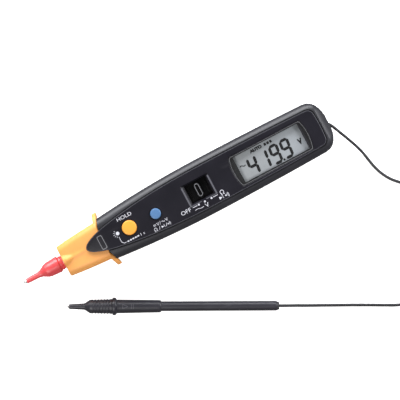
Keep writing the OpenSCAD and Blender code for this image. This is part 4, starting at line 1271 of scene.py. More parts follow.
@dataclass
class Cord:
    """The thin cord: out of the meter's end, down to the surface, through its coil and on to the probe."""

    diameter: float = 1.6
    exit: Point = (88.8, -1.0, 10.0)
    meter_way: tuple = (
        (89.6, -1, 10), (90.5, -1.3, 10), (91.4, -2, 10), (92.1, -3.1, 9.9), (93, -5, 9.5), (94.3, -8, 8.6),
        (96, -11.8, 7.1), (97.6, -15.5, 5.2), (99.1, -19.3, 3.4), (100.4, -23.3, 2), (101.3, -27.5, 1.1),
        (102.2, -32, 0.8), (104, -37.5, 0.8), (107, -42.8, 0.8), (111.2, -47.4, 0.8), (116, -51.5, 0.8),
        (120.6, -56, 0.8), (124.4, -61.4, 0.9), (127, -67.6, 1.1),
    )
    probe_way: tuple = (
        (103.8, -95.7, 2.7), (99.2, -97.8, 1.9), (94.6, -100.4, 1.2), (90, -103, 0.8), (86, -104.8, 0.8),
        (82.2, -105.2, 0.8), (78.4, -103.9, 0.8), (73, -101.1, 0.8), (66, -97.3, 0.8), (58.5, -93.3, 0.8),
        (51, -89.4, 0.8), (43.5, -85.5, 0.8), (36.5, -81.9, 1.1), (30.5, -78.7, 1.6),
    )
    coil_middle: Flat = (114.0, -80.0)
    coil_pitch: float = 2.05
    coil_turn: float = 3330.0
    coil_inner: float = 4.7594
    coil_low: float = 1.4
    coil_steps: int = 222
    tie_turn: float = 150.0
    tie_width: float = 3.0
    tie_band: float = 0.5
    tie_room: float = 0.7
    tie_over: float = 0.6
    tie_brim: float = 0.12
    tie_round: float = 0.15
    lead_stops: Flat = (116.1, 80.0)

    def coil(self) -> Array:
        """The coil's line: turns in one plane in to the middle, up one layer, and out again."""
        turned = np.linspace(0, self.coil_turn, self.coil_steps + 1)
        radius = self.coil_inner + self.coil_pitch * np.abs(turned - self.coil_turn / 2) / 360
        level = self.coil_low + self.coil_pitch * np.clip((turned - self.coil_turn / 2 + 90) / 180, 0, 1)
        angle = -np.radians(turned)
        return np.stack([self.coil_middle[0] + radius * np.cos(angle),
                         self.coil_middle[1] + radius * np.sin(angle), level], 1)

    def route(self, lead: "TestLead") -> Array:
        """The whole line from the meter's bush through the coil to the joint inside the probe.

        Args:
            lead: the probe.

        Returns:
            Points a millimetre apart.
        """
        coil = self.coil()
        start = coil[0] + (0, self.diameter, 0)
        stop = coil[-1] + (-self.diameter, 0, 0)
        ends = [start + (0, 3 * self.diameter, 0), start, *coil, stop, stop - (3 * self.diameter, 0, 0)]
        inside = (self.lead_stops[0], lead.end, self.lead_stops[1], lead.core)
        points = [self.exit, *self.meter_way, *(tuple(end) for end in ends), *self.probe_way]
        return smooth_line([*points, *(lead.along(x) for x in inside)], 1.0)

    def build(self, shop: Workshop, lead: "TestLead") -> None:
        """Args:
            shop: the workshop.
            lead: the probe on the cord's end.
        """
        path = self.route(lead)
        nodes = ("cord_meter_run", "cord_coil", "cord_probe_run", "lead_tail")
        skin = tube(path, self.diameter / 2)
        cord = shop.make("test_cord", skin, Body.METER, "cord_jacket", nodes, smooth=60)
        tie = self._tie(shop)

    def _tie(self, shop: Workshop) -> bpy.types.Object:
        """A soft band closed round one side of the coil: its upright section carried across its width.

        Args:
            shop: the workshop.

        Returns:
            The band.
        """
        radius, half = self.diameter / 2, self.tie_width / 2
        outer = self.coil_inner + self.coil_pitch * self.coil_turn / 720
        near, far = self.coil_inner - radius - self.tie_room, outer + radius + self.tie_room
        high = self.coil_low + self.coil_pitch + radius + self.tie_over
        section = softened([(near, 0), (far, 0), (far, high), (near, high)], 0.9, closed=True, step=0.4)
        shell = np.clip(section, (near, 0), (far, high))
        brim, inner = inset(shell, self.tie_brim), inset(shell, self.tie_band)
        places = (-half, self.tie_round - half, half - self.tie_round, half)
        rows = [*zip((brim, shell, shell, brim), places), *((inner, y) for y in places[::-1])]
        rings = [np.column_stack([loop[:, 0], np.full(len(loop), y), loop[:, 1]]) for loop, y in rows]
        shape = loft(np.stack(rings), closed=True)
        shape = shape.placed(turn_about("Z", self.tie_turn), (*self.coil_middle, 0))
        return shop.make("cord_band", shape, Body.METER, "tie", ("cord_tie",))


@dataclass
class TestLead:
    """The second probe: it lies on its finger guard and its rear end, turned away from the meter."""

    tip: Flat = (-77.1, -22.0)
    turn: float = -27.8
    height: float = 5.3347
    lean: float = math.degrees(math.atan(2.1 / 85.8))
    end: float = 112.9
    core: float = 46.0
    cap_tip: Sequence[Flat] = ((1.0, 1.1), (1.0, 1.3), (9.2, 1.72), (12.1, 3.6))
    cap_rear: Sequence[Flat] = ((24.1, 3.98), (24.1, 2.75), (19.0, 2.75), (19.0, 1.1))
    cap_from: float = 12.0
    cap_radius: float = 3.68
    cap_growth: float = 0.025
    grooves: tuple[float, float, int] = (14.2, 22.2, 6)
    groove_half: float = 0.42
    groove_deep: float = 0.24
    handle: Sequence[Flat] = (
        (19.1, 1.02), (19.1, 2.7), (24.12, 2.7), (24.12, 4.55), (24.6, 4.7), (25.6, 4.7), (26.0, 4.4),
        (26.4, 3.66), (48.6, 3.32), (49.2, 3.3), (50.0, 3.05), (50.0, 2.22), (42.0, 2.22), (42.0, 1.02),
    )
    sleeve: Sequence[Flat] = (
        (42.0, 1.3), (42.0, 2.2), (50.0, 2.2), (50.0, 2.6), (111.4, 2.6), (111.8, 2.4), (111.8, 0.82),
        (50.0, 0.82), (49.5, 1.3),
    )
    bush: Sequence[Flat] = ((111.8, 0.82), (111.8, 2.3), (112.3, 2.25), (112.9, 1.9), (112.9, 0.82))
    pin: Sequence[Flat] = ((0.0, 0.02), (0.06, 0.2), (1.2, 1.0), (44.0, 1.0), (44.0, 0.02))
    mark_lines: Sequence[tuple[Flat, Flat]] = (
        ((29.5, -1.3), (32.3, 0.0)), ((32.3, 0.0), (29.5, 1.3)), ((29.5, 1.3), (29.5, -1.3)),
        ((34.2, -1.3), (34.2, 1.3)), ((35.2, -1.3), (35.2, 1.3)),
    )
    pieces: list[bpy.types.Object] = field(default_factory=list)
    kept: tuple[str, ...] = ("lead_ferrule",)

    def along(self, x: float) -> Point:
        """The point of the probe's axis at a distance from its tip.

        Args:
            x: distance from the tip.

        Returns:
            The point in the frame of the meter.
        """
        turn, lean = math.radians(self.turn), math.radians(self.lean)
        reach = x * math.cos(lean)
        return (self.tip[0] + reach * math.cos(turn), self.tip[1] + reach * math.sin(turn),
                self.height - x * math.sin(lean))

    def _placed(self, shape: Shape) -> Shape:
        """Leans a shape about Y, turns it about Z and moves it to the probe's tip."""
        return shape.placed(turn_about("Z", self.turn) @ turn_about("Y", self.lean), (*self.tip, self.height))

    def _ringed_cap(self) -> list[Flat]:
        """The cap's profile: a slim tip, a cone, and a body with shallow ring grooves."""
        rings = []
        for middle in np.linspace(*self.grooves):
            around = self.cap_radius + (middle - self.cap_from) * self.cap_growth
            deep, half = self.groove_deep, self.groove_half
            rings += [(middle - half, around), (middle - deep, around - deep), (middle + deep, around - deep),
                      (middle + half, around)]
        return [*self.cap_tip, *rings, *self.cap_rear]

    def build(self, shop: Workshop) -> None:
        """Makes the pin, cap, handle, sleeve and end bush, and the marks on the handle.

        Args:
            shop: the workshop.
        """
        parts = (
            Turned("probe_cap", "lead_cap", "probe_black", 0.1, self._ringed_cap(), Body.BLACK_CAP),
            Turned("probe_handle", "lead_handle", "probe_black", 0.2, self.handle),
            Turned("probe_sleeve", "lead_sleeve", "probe_black", 0.15, self.sleeve),
            Turned("probe_bush", "lead_end_bush", "cord_jacket", 0.12, self.bush),
            Turned("probe_pin", "lead_pin", "nickel", 0.05, self.pin, closed=False),
        )
        for part in parts:
            shape = self._placed(part.shape(0.07, 0.004, 64))
            self.pieces.append(shop.make(part.name, shape, part.body, part.finish, (part.node,)))
        self._marks(shop)
        for node in self.kept:
            shop.dress(node, "brass")

    def _marks(self, shop: Workshop) -> None:
        """A small triangle and two bars wrapped round the handle: y goes to the angle y over the radius.

        Args:
            shop: the workshop.
        """
        (start, wide), (stop, slim) = self.handle[7:9]
        lines = [ribbon(np.linspace(a, b, 9).tolist(), 0.3) for a, b in self.mark_lines]
        marks = Shape.joined([stamped([line], -0.12, 0.05) for line in lines])

        def wrap(points: Array) -> Array:
            """Bends flat marks onto the handle's cone."""
            radius = wide - (points[:, 0] - start) * (wide - slim) / (stop - start) + points[:, 2]
            angle = points[:, 1] / 3.6
            return np.stack([points[:, 0], radius * np.sin(angle), radius * np.cos(angle)], 1)

        shape = self._placed(marks.warped(wrap))
        mark = shop.make("handle_mark", shape, Body.METER, "dim_print_and_highlight", smooth=20, slot="probe_black")
        self.pieces.append(mark)


@dataclass
class CaseShells:
    """Upper and lower case with the battery cover, the screws, the seam and the grip lines on the back."""

    grip_lines: int = 7
    grip_length: float = 9.0
    grip_loss: float = 0.5
    grip_from: float = 31.0
    grip_pitch: float = 1.3
    arrow: Sequence[Flat] = ((17.2, 0.0), (20.6, 2.2), (20.6, -2.2))
    cord_y: float = -1.0
    cord_gap: float = 2.4
    seam_half: float = 0.08
    seam_out: float = 0.02
    seam_in: float = 0.2
    halves: tuple = (("case_top", "upper_case"), ("case_back", "lower_case"))
    screws: tuple = (("lid_screw", "cover_screw"), ("back_screws", "case_screws"))

    def build(self, shop: Workshop) -> None:
        """Makes the mouldings, the seam and the back's marks.

        Args:
            shop: the workshop.
        """
        for name, node in self.halves:
            shop.moulding(name, node, Body.METER, "case_plastic", 26)
        self._seam(shop)
        shop.moulding("battery_lid", "battery_cover", Body.METER, "case_plastic", 26)
        for name, node in self.screws:
            shop.moulding(name, node, Body.METER, "steel")
        marks = [crosswise(stadium(self.grip_length - self.grip_loss * k, 0.5))
                 + (self.grip_from - self.grip_pitch * k, 0)
                 for k in range(self.grip_lines)]
        shop.make("lid_grip", stamped([*marks, np.array(self.arrow)], -0.02, 0.03), Body.METER, "groove_dark",
                  smooth=20, slot="case_plastic")

    def _seam(self, shop: Workshop) -> None:
        """A fine dark line where the halves meet: a thin band round their outline there, open at the cord.

        Args:
            shop: the workshop.
        """
        rim = shop.copy_of("upper_case").points
        rim = rim[np.abs(rim[:, 2] - AT.parting) < self.seam_out, :2]
        outline = thinned(rim[convex_hull_2d([tuple(p) for p in rim.tolist()])], 0.005)
        x, y = outline[:, 0], outline[:, 1]
        if np.sum(x * np.roll(y, -1) - np.roll(x, -1) * y) < 0:
            outline = outline[::-1]
        outline = np.roll(outline, -int(outline[:, 0].argmin()), axis=0)
        closed = np.concatenate([outline, outline[:1]])
        dense = sampled(closed, np.arange(0, run_of(closed)[-1], 0.5))
        at_cord = np.abs(dense[:, 1] - self.cord_y) < self.cord_gap
        hole = np.flatnonzero((dense[:, 0] > AT.panel_rear) & at_cord)
        order = np.roll(np.arange(len(dense)), -int(hole[-1]) - 1)[:len(dense) - len(hole)]
        outer, inner = inset(dense, -self.seam_out)[order], inset(dense, self.seam_in)[order]
        loop = np.concatenate([outer, inner[::-1]])
        band = stamped([loop], AT.parting - self.seam_half, AT.parting + self.seam_half)
        shop.make("case_seam", band, Body.METER, "groove_dark", smooth=20, slot="case_plastic")


@dataclass
class FacePanel:
    """The glossy face panel with its openings, its light marks and its painted highlight lines, whose x is
    given from the meter's tip.
    """

    rim: float = 0.32
    hole_rim: float = 0.3
    hold_hole: float = 4.1
    select_hole: float = 3.05
    lens_gap: float = 0.1
    window: Sequence[Point] = ((15.8, 11.8, 0.0), (15.5, 11.65, 0.12), (12.6, 10.2, 1.5))
    ink_low: float = 25.49
    ink_high: float = 25.525
    line: float = 0.25
    thin: float = 0.22
    hold_word: tuple = ("HOLD", 59.4, 67.8, 5.0, 6.9)
    off_word: tuple = ("OFF", 90.8, 96.4, -8.2, -6.1)
    volt_word: tuple = ("V", 104.1, 106.1, -10.2, -8.0)
    lamp: Flat = (56.5, -0.3)
    rays: Sequence[float] = (120, 150, 180, 210, 240)
    leader: Sequence[Flat] = ((56.3, -2.2), (56.3, -5.2), (57.2, -6.4), (58.6, -6.4))
    places: Sequence[Flat] = ((0.5, 101.3), (0.52, 104.9), (0.52, 108.8))
    places_y: float = -7.0
    frame: Sequence[Flat] = (
        (-8.05, 4.8), (-8.05, -6.35), (-1.4, -6.35), (-1.4, -5.92), (-7.2, -5.92), (-7.2, 4.8),
    )
    # Insets of the painted highlight band along the panel's lit edge
    panel_highlight_band: Flat = (0.24, 0.4)

    def build(self, shop: Workshop) -> None:
        """Makes the panel, prints its marks and adds its painted highlight lines.

        Args:
            shop: the workshop.
        """
        length, width, _ = self.window[-1]
        slot = softened(rectangle(length, width).tolist(), 0.35, closed=True, step=0.25)[::-1]
        rings = [with_level(slot * (a / length, b / width) + (AT.switch, 0), AT.face - depth)
                 for a, b, depth in self.window]
        holes = (AT.lens_outline(self.lens_gap), circle(self.hold_hole, AT.hold),
                 circle(self.select_hole, AT.select, 60))
        rims = [Rim.rounded(AT.panel_outline(), AT.seat, AT.face, self.rim, 6), Rim(rings)]
        rims += [Rim.rounded(hole[::-1], AT.seat, AT.face, self.hole_rim) for hole in holes]
        shape = plate(rims, 3.0).warped(AT.sloped)
        shop.make("face_plate", shape, Body.METER, "panel_print", ("face_panel",), 24)
        self._marks(shop)

    def _mark(self, shop: Workshop, name: str, shape: Shape, finish: str = "ink_white") -> None:
        """Makes one printed mark or painted highlight line."""
        shop.make(name, shape.warped(AT.sloped), Body.METER, finish, smooth=20, slot="panel_print")

    def _print(self, loops: Iterable[Array]) -> Shape:
        """Turns loops given from the tip into thin print on the face."""
        return stamped([loop + (AT.tip, 0) for loop in loops], self.ink_low, self.ink_high)

    def _word(self, text: str, left: float, right: float, low: float, high: float) -> Shape:
        """Sets a generic word between places given from the tip."""
        box = (left + AT.tip, right + AT.tip, low, high)
        return lettering(text, box, self.ink_low, self.ink_high, bold=0.0)

    def _marks(self, shop: Workshop) -> None:
        """Prints the words, the signs, the switch's scale and the outline on the tongue, and adds painted
        highlights: the frame round the switch's window and the line along the panel's edge.

        Args:
            shop: the workshop.
        """
        diode = self._diode((112.4, -9.2), 1.8, 0.8, (114.5, 0.9))
        sounder = self._sounder((116.2, -9.3), 0.45, (1.1, 1.7), self.thin)
        marks = {
            "mark_hold": self._word(*self.hold_word),
            "mark_lamp": self._print(self._lamp_sign()),
            "mark_press": self._press_mark(),
            "mark_off": self._word(*self.off_word),
            "mark_volt": self._word(*self.volt_word),
            "mark_ohm": self._print([self._ohm(115.1, -8.0, 2.3)]),
            "mark_scale": self._print(self._switch_scale()),
            "mark_diode": self._print([*diode, *sounder]),
            "mark_select": self._first_row(),
            "mark_second_row": self._print(self._second_row()),
        }
        for name, shape in marks.items():
            self._mark(shop, name, shape)
        # Painted highlight of the lit bevels round the switch's window.
        self._mark(shop, "switch_bevel_highlight", self._print(self._frame()), "dim_print_and_highlight")
        self._mark(shop, "tongue_outline", self._tongue_outline(), "grey_print_and_highlight")
        # Painted highlight of the panel's lit rounded edge: a thin band just inside its outline.
        outline = AT.panel_outline()
        outer, inner = (inset(outline, distance) for distance in self.panel_highlight_band)
        self._mark(shop, "panel_edge", trim(outer, inner[::-1], self.ink_low, self.ink_high), "dim_print_and_highlight")

    def _lamp_sign(self) -> list[Array]:
        """A lamp with five rays, and the leader from it to the mark beside the yellow button."""
        x, y = self.lamp
        rays = [ribbon([(x - 0.1 + r * math.cos(a), y + r * math.sin(a)) for r in (1.4, 2.3)], 0.2)
                for a in np.radians(self.rays)]
        return [circle(0.95, self.lamp, 32), *rays, ribbon(self.leader, self.line)]

    def _press_mark(self) -> Shape:
        """Five plain dashes and a time beside the yellow button."""
        steps = [ribbon([(59.2 + 1.45 * k, -6.5), (60.2 + 1.45 * k, -6.5)], 0.7) for k in range(5)]
        return Shape.joined([self._print(steps), self._word("1 s", 67.1, 69.3, -7.15, -5.7)])

    def _switch_scale(self) -> list[Array]:
        """A dot for each of the switch's places, dashes from the outer dots to their marks, and a wave."""
        y = self.places_y
        dots = [circle(radius, (x, y), 24) for radius, x in self.places]
        dashes = [ribbon([(left, y), (left + 2.8, y)], 0.28) for left in (97.6, 109.8)]
        return [*dots, *dashes, ribbon(self.wave(98.2, 103.2, -8.9, 0.25), self.line)]

    def _first_row(self) -> Shape:
        """The blue button's first row: direct voltage, a stroke and alternating voltage."""
        strokes = [ribbon([(75.0, y), (76.3, y)], self.line) for y in (-5.5, -6.1)]
        strokes += [ribbon([(78.5, -6.7), (79.2, -4.9)], self.thin),
                    ribbon(self.wave(79.9, 81.5, -5.8, 0.3), 0.26)]
        volts = [self._word("V", left, right, -6.6, -5.0) for left, right in ((76.8, 78.2), (81.9, 83.4))]
        return Shape.joined([self._print(strokes), *volts])

    def _second_row(self) -> list[Array]:
        """The blue button's second row: resistance, diode and sounder, with strokes between them."""
        strokes = [ribbon([(x, -9.0), (x + 0.8, -7.3)], self.thin) for x in (77.0, 81.0)]
        return [self._ohm(75.2, -8.9, 1.8), *strokes, *self._diode((78.6, -8.2), 1.4, 0.6, (80.25, 0.8)),
                *self._sounder((82.4, -8.2), 0.36, (0.85, 1.35), 0.2, 20)]

    def _frame(self) -> list[Array]:
        """Painted highlights of the window's lit bevels: two grey angles round the switch's window, open at its
        upper side and at the pointer.
        """
        angle, middle = np.array(self.frame), (AT.switch - AT.tip, 0)
        return [angle + middle, (angle * (-1, 1))[::-1] + middle]

    def _tongue_outline(self) -> Shape:
        """A thin upright rounded outline on the tongue."""
        middle = (47.05 + AT.tip, -0.6)
        outer, inner = (softened(rectangle(width, length, middle).tolist(), 0.9, closed=True, step=0.25)
                        for width, length in ((2.9, 7.6), (2.3, 7.0)))
        return trim(outer, inner[::-1], self.ink_low, self.ink_high)

    def _diode(self, base: Flat, length: float, half: float, bar: Flat) -> list[Array]:
        """A diode sign.

        Args:
            base: middle of the triangle's base.
            length: the triangle's length along X.
            half: half its width.
            bar: the bar's x and half its length.

        Returns:
            The triangle and the bar.
        """
        x, y = base
        triangle = np.array([(x, y - half), (x + length, y), (x, y + half)])
        return [triangle, ribbon([(bar[0], y - bar[1]), (bar[0], y + bar[1])], self.thin)]

    @staticmethod
    def _sounder(middle: Flat, dot: float, arcs: Flat, width: float, sides: int = 24) -> list[Array]:
        """A sounder sign: a dot and two arcs beside it.

        Args:
            middle: the dot's middle.
            dot: the dot's radius.
            arcs: the arcs' radii.
            width: the arcs' width.
            sides: points round the dot.

        Returns:
            The dot and the arcs.
        """
        angle = np.radians(np.linspace(-45, 45, 12))
        bows = [np.stack([middle[0] + r * np.cos(angle), middle[1] + r * np.sin(angle)], 1) for r in arcs]
        return [circle(dot, middle, sides), *(ribbon(bow, width) for bow in bows)]

    @staticmethod
    def wave(left: float, right: float, level: float, height: float) -> Array:
        """One period of a sine between two places: level + height sin(2 pi s) for s from 0 to 1."""
        share = np.linspace(0, 1, 20)
        return np.stack([left + (right - left) * share, level + height * np.sin(2 * math.pi * share)], 1)

    @staticmethod
    def _ohm(x: float, foot: float, height: float) -> Array:
        """An ohm sign: most of a ring that ends in two feet.

        Args:
            x: its middle.
            foot: level of its feet.
            height: its height.

        Returns:
            Its outline.
        """
        angle = np.radians(np.linspace(-60, 240, 30))
        radius = height * 0.42
        bow = np.stack([x + radius * np.cos(angle), foot + height * 0.56 + radius * np.sin(angle)], 1)
        ends = [(x + height * 0.5, foot), (bow[0, 0], foot), (bow[-1, 0], foot), (x - height * 0.5, foot)]
        return ribbon([*ends[:2], *bow.tolist(), *ends[2:]], height * 0.14)


@dataclass
class Display:
    """The lens over the liquid crystal, with a plain reading whose x is given from the meter's tip."""

    glass: Flat = (41.9, 18.4)
    glass_depth: float = 2.2
    lens_top: float = 25.2
    level: float = 22.105
    film: float = 0.03
    stroke: float = 1.5
    view: tuple[float, float, float, float] = (37.5, 76.5, -8.2, 6.6)
    slant: float = 0.09
    digits: tuple = (("4", 133.8), ("1", 140.4), ("9", 147.0), ("9", 153.4))
    words: tuple = (
        ("V", 162.5, 165.1, -4.2, -0.9, 0.05, 0.08), ("AUTO", 137.8, 144.9, 3.9, 5.8, 0.0, 0.09),
    )
    dot: float = 152.2
    dot_radius: float = 0.6
    wave: Sequence[float] = (129.6, 132.8, 0.1, 0.4)
    block: Flat = (1.25, 1.4)
    block_from: Flat = (146.8, 4.8)
    block_pitch: float = 1.7
    low: float = -7.1
    height: float = 9.3
    width: float = 4.0
    segments: tuple = (
        ("a", (0, 2), (1, 2)), ("b", (1, 1), (1, 2)), ("c", (1, 0), (1, 1)), ("d", (0, 0), (1, 0)),
        ("e", (0, 0), (0, 1)), ("f", (0, 1), (0, 2)), ("g", (0, 1), (1, 1)),
    )
    lit: tuple = (("4", "bcfg"), ("1", "bc"), ("9", "abcdfg"))

    def _segment(self, start: Array, stop: Array) -> Array:
        """A bar with pointed ends between two corners of a digit.

        Args:
            start: the bar's first end.
            stop: its last end.

        Returns:
            The bar's outline.
        """
        ahead = (stop - start) / np.linalg.norm(stop - start)
        side = np.array((-ahead[1], ahead[0])) * self.stroke / 2
        room = ahead * 0.03
        near, far = start + room + ahead * self.stroke * 0.5, stop - room - ahead * self.stroke * 0.5
        return np.array([start + room, near - side, far - side, stop - room, far + side, near + side])

    def _digit(self, shape: str, left: float) -> list[Array]:
        """The lit bars of one digit, leaning to the right.

        Args:
            shape: the digit.
            left: its left edge, given from the tip.

        Returns:
            The bars' outlines.
        """
        lit = dict(self.lit)[shape]
        loops = []
        for name, a, b in self.segments:
            if name in lit:
                ends = [np.array((left + x * self.width, self.low + y * self.height / 2)) for x, y in (a, b)]
                bar = self._segment(*ends)
                bar[:, 0] += self.slant * (bar[:, 1] - self.low)
                loops.append(bar + (AT.tip, 0))
        return loops

    def _reading(self) -> Shape:
        """The digits with their dot, a wave before them, their unit and the small marks over them."""
        low, high = self.level, self.level + self.film
        loops = [bar for digit, left in self.digits for bar in self._digit(digit, left)]
        loops += [circle(self.dot_radius, (self.dot + AT.tip, self.low), 24),
                  ribbon(FacePanel.wave(*self.wave), 0.5) + (AT.tip, 0)]
        x, y = self.block_from
        blocks = [rectangle(*self.block, (x + self.block_pitch * k + AT.tip, y)) for k in range(3)]
        words = [lettering(text, (left + AT.tip, right + AT.tip, foot, top), low, high, slant, bold)
                 for text, left, right, foot, top, slant, bold in self.words]
        return Shape.joined([stamped(loops, low, high), *words, stamped(blocks, low, high)])

    def build(self, shop: Workshop) -> None:
        """Makes the glass, the reading, the border, a painted highlight along the lens's edge, and the lens.

        Args:
            shop: the workshop.
        """
        under = AT.glass - self.glass_depth
        glass = Rim.rounded(rectangle(*self.glass, AT.display), under, AT.glass, 0.12, 2)
        shop.make("crystal_glass", plate([glass]), Body.METER, "lcd", ("lcd_glass",))
        shop.make("reading", self._reading(), Body.METER, "segment_black", smooth=20, slot="lcd")
        left, right, low, high = self.view
        corners = [(left, high), (right, high), (right, low), (left, low)]
        window = softened(corners, 0.5, closed=True, step=0.3)
        border = trim(AT.lens_outline(-0.15), window, AT.seat - 0.1, AT.seat + 0.02)
        shop.make("window_border", border, Body.METER, "groove_dark", smooth=20, slot="lens_clear")
        top = self.lens_top
        # Painted highlight: a thin grey line along the lens's edge, where it catches light.
        rim = trim(AT.lens_outline(-0.3), AT.lens_outline(-0.46)[::-1], top - 0.03, top + 0.01)
        shop.make("lens_edge_highlight", rim, Body.METER, "grey_print_and_highlight", smooth=20, slot="lens_clear")
        lens = Rim.rounded(AT.lens_outline(), AT.seat + 0.05, self.lens_top, 0.35, 5)
        shop.make("display_window", plate([lens]), Body.METER, "lens_clear", ("display_lens",))


@dataclass
class PushButton:
    """A crowned push button with the flange that holds it under the plate."""

    name: str
    node: str
    body: Body
    finish: str
    place: Flat
    radius: float
    foot: float = 20.2
    stem: float = 1.8
    flange: float = 1.0
    flange_low: float = 20.9
    flange_high: float = 22.1
    top: float = 26.5
    crown: float = 0.03

    def build(self, shop: Workshop) -> None:
        """Turns the button's profile: stem, flange, side, rounded edge and low crown.

        Args:
            shop: the workshop.
        """
        r, top = self.radius, self.top
        shares = np.linspace(1, 0, 12)[:-1].tolist()
        crown = [(top - self.crown * r * (1 + s**2), (r - 0.45) * s) for s in shares]
        edge, wide = top - 2 * self.crown * r, r + self.flange
        corners = [(self.foot, 0.05), (self.foot, self.stem), (self.flange_low, self.stem),
                   (self.flange_low, wide), (self.flange_high, wide), (self.flange_high, r),
                   (edge - 0.42, r), (edge - 0.16, r - 0.12), *crown, (top - self.crown * r, 0.02)]
        profile = thinned(softened(corners, 0.18, step=0.06), 0.002)
        shape = upright(revolve(profile, 96)).placed(move=(*self.place, 0))
        shop.make(self.name, shape, self.body, self.finish, (self.node,), 30)


@dataclass
class FunctionSwitch:
    """The slide with its dished thumb ridge, its side ribs and its pointer."""

    bed: Flat = (21.9, 12.0)
    bed_low: float = 20.6
    bed_top: float = 22.1
    carrier: float = 7.8
    carrier_low: float = 17.4
    ridge: Flat = (7.8, 3.1)
    ridge_sides: Sequence[Flat] = (
        (-0.12, 22.0), (0.0, 24.95), (0.1, 25.25), (0.28, 25.43), (0.5, 25.5), (0.72, 25.42), (0.86, 25.2),
        (0.95, 24.8), (1.05, 24.72),
    )
    # Insets and levels of the painted highlight line along the ridge's crest
    line: Flat = (0.36, 0.62)
    crest_highlight_levels: Flat = (25.46, 25.53)
    rib: Flat = (7.6, 0.7)
    rib_places: Sequence[float] = (-8.0, -6.4, -4.8, 4.8, 6.4, 8.0)
    pointer: Flat = (1.3, 1.8)
    pointer_y: float = -4.0

    def build(self, shop: Workshop) -> None:
        """Makes the slide and the painted highlight line along its ridge's crest.

        Args:
            shop: the workshop.
        """
        foot, square = self.bed_top - 0.1, rectangle(self.carrier, self.carrier)
        plates = [Rim.rounded(rectangle(*self.bed), self.bed_low, self.bed_top, 0.15, 2),
                  Rim.rounded(square, self.carrier_low, self.bed_low + 0.1, 0.1, 2),
                  *(Rim.rounded(crosswise(stadium(*self.rib)) + (x, 0), foot, foot + 0.5, 0.25, 3)
                    for x in self.rib_places),
                  Rim.rounded(rectangle(*self.pointer, (0, self.pointer_y)), foot, foot + 2, 0.25, 3)]
        ridge = crosswise(stadium(*self.ridge))
        skin = loft(np.stack([with_level(inset(ridge, far), level) for far, level in self.ridge_sides]))
        shape = Shape.joined([*(plate([rim]) for rim in plates), skin])
        shape = shape.placed(move=(AT.switch, 0, 0))
        shop.make("slide_knob", shape, Body.SLIDE, "switch_black", ("switch_slide",))
        # A painted highlight: a grey line along the crest of the ridge's rim.
        outer, inner = (inset(ridge, distance) for distance in self.line)
        line = trim(outer, inner[::-1], *self.crest_highlight_levels).placed(move=(AT.switch, 0, 0))
        shop.make("ridge_crest_highlight", line, Body.SLIDE, "grey_print_and_highlight", smooth=20, slot="switch_black")


@dataclass
class NoseGuard:
    """The soft orange nose guard: its moulded shape with every edge rounded as in a rubbery moulding."""

    voxel: float = 0.3
    rounds: int = 9
    ridge_height: float = 0.55
    ridge_from: float = -66.6
    ridge_to: float = -53.5
    ridge_half: float = 1.5
    ridge_narrowing: float = 0.6

    def build(self, shop: Workshop) -> None:
        """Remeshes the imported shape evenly, relaxes it until its edges turn soft, and raises its ridge.

        Args:
            shop: the workshop.
        """
        guard = shop.moulding("finger_guard", "nose_guard", Body.METER, "nose_orange", 60)
        skin = guard.modifiers.new("even_skin", "REMESH")
        skin.mode, skin.voxel_size = "VOXEL", self.voxel * MM
        relax = guard.modifiers.new("relax", "SMOOTH")
        relax.factor, relax.iterations = 0.5, self.rounds
        bpy.context.view_layer.update()
        mesh = bpy.data.meshes.new_from_object(guard.evaluated_get(bpy.context.evaluated_depsgraph_get()))
        guard.modifiers.clear()
        guard.data = mesh
        self._raise_ridge(mesh)
        mesh.shade_smooth()
        LOG.info("finger_guard relaxed to %d faces", len(mesh.polygons))

    def _raise_ridge(self, mesh: bpy.types.Mesh) -> None:
        """Draws the lamp's swelling out to the tongue: the top skin rises by h sqrt(1 - s) exp(-(y / w)^2).

        Args:
            mesh: the guard's skin; s runs from 0 at the front to 1 at the tongue, and w narrows along it.
        """
        points, normals = np.empty(len(mesh.vertices) * 3), np.empty(len(mesh.vertices) * 3)
        mesh.vertices.foreach_get("co", points)
        mesh.vertices.foreach_get("normal", normals)
        points, normals = points.reshape(-1, 3) / MM, normals.reshape(-1, 3)
        share = np.clip((points[:, 0] - self.ridge_from) / (self.ridge_to - self.ridge_from), 0, 1)
        rise = self.ridge_height * (1 - share) ** 0.5 * np.clip(share * 8, 0.35, 1)
        width = self.ridge_half - self.ridge_narrowing * share
        top = np.clip((normals[:, 2] - 0.3) / 0.4, 0, 1) * (points[:, 2] > AT.pin + 3)
        points[:, 2] += rise * np.exp(-((points[:, 1] / width) ** 2)) * top
        mesh.vertices.foreach_set("co", (points * MM).ravel())
        mesh.update()


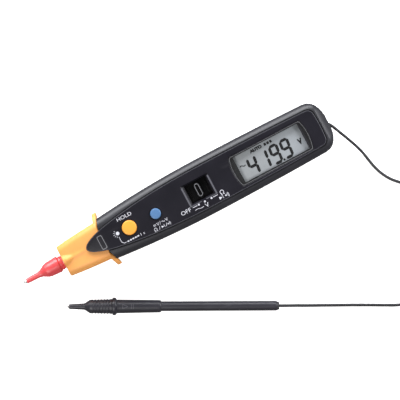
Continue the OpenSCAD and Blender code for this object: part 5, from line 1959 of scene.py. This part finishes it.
@dataclass
class TestPoint:
    """The fixed test point: pin, pull-off cap, collar, and the lamp above them."""

    parts: tuple[Turned, ...] = (
        Turned("point_pin", "test_pin", "nickel", 0.05, (
            (-91.0, 0.02), (-90.97, 0.45), (-90.4, 0.95), (-90.0, 1.0), (-46.9, 1.0), (-46.9, 0.02),
        ), closed=False, height=AT.pin),
        Turned("red_cover", "tip_cap", "cap_red", 0.35, (
            (-89.5, 1.12), (-89.5, 1.4), (-82.3, 1.58), (-80.6, 1.95), (-77.6, 3.7), (-76.0, 4.05),
            (-70.9, 4.4), (-70.1, 4.4), (-69.72, 4.1), (-69.72, 3.06), (-74.2, 3.06), (-74.2, 1.12),
        ), Body.RED_CAP, height=AT.pin),
        Turned("red_collar", "pin_collar", "cap_red", 0.12, (
            (-74.1, 1.02), (-74.1, 3.0), (-69.7, 3.0), (-69.7, 3.62), (-69.3, 3.8), (-68.2, 3.8),
            (-67.9, 3.55), (-67.5, 3.55), (-67.2, 3.8), (-64.5, 3.8), (-64.5, 4.6), (-62.0, 4.6),
            (-62.0, 3.2), (-51.4, 3.2), (-51.4, 1.02),
        ), height=AT.pin),
        Turned("clear_lamp", "nose_lamp", "lamp_clear", 0.15, (
            (-67.3, 0.02), (-67.25, 0.55), (-67.0, 1.1), (-66.6, 1.42), (-66.0, 1.5), (-62.2, 1.5),
            (-62.2, 0.02),
        ), closed=False, height=16.0),
    )

    def build(self, shop: Workshop) -> None:
        """Makes the pieces from the tip backwards.

        Args:
            shop: the workshop.
        """
        for part in self.parts:
            shop.make(part.name, part.shape(0.06, 0.003, 84), part.body, part.finish, (part.node,), 34)


@dataclass
class InnerParts:
    """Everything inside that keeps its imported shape, with its finish."""

    finishes: tuple = (
        ("lcd_holder", "white_plastic"), ("contact_strips", "strip_rubber"), ("circuit_board", "board"),
        ("measuring_chip", "chip"), ("divider_resistors", "resistor"), ("surge_limiter", "blue_disc"),
        ("clock_crystal", "nickel"), ("buzzer", "chip"), ("hold_plunger", "white_plastic"),
        ("hold_key_switch", "nickel"), ("select_plunger", "white_plastic"), ("select_key_switch", "nickel"),
        ("switch_wiper", "brass"), ("pin_strip", "brass"), ("lamp_leads", "nickel"), ("coin_cell", "nickel"),
        ("cell_holder", "chip"), ("cell_plus_contact", "brass"), ("cell_minus_contact", "brass"),
        ("cord_bush", "cord_jacket"), ("cord_stop", "nickel"), ("cord_tail", "cord_jacket"),
    )

    def build(self, shop: Workshop) -> None:
        """Dresses the parts.

        Args:
            shop: the workshop.
        """
        for node, finish in self.finishes:
            shop.dress(node, finish)


def main() -> None:
    """Builds the studio, the cord with its probe, and the meter from its case to its inner parts."""
    logging.basicConfig(level=logging.INFO, format="%(message)s")
    shop = Workshop()
    Studio().build()
    lead = TestLead()
    lead.build(shop)
    Cord().build(shop, lead)
    CaseShells().build(shop)
    FacePanel().build(shop)
    Display().build(shop)
    PushButton("yellow_button", "hold_button", Body.HOLD, "yellow_key", AT.hold, 3.9).build(shop)
    PushButton("blue_button", "select_button", Body.SELECT, "blue_key", AT.select, 2.85).build(shop)
    FunctionSwitch().build(shop)
    NoseGuard().build(shop)
    TestPoint().build(shop)
    InnerParts().build(shop)
    left = sorted(set(shop.nodes) - shop.dressed)
    if left:
        raise ValueError(f"nodes without a finish: {left}")


if __name__ == "__main__":
    main()
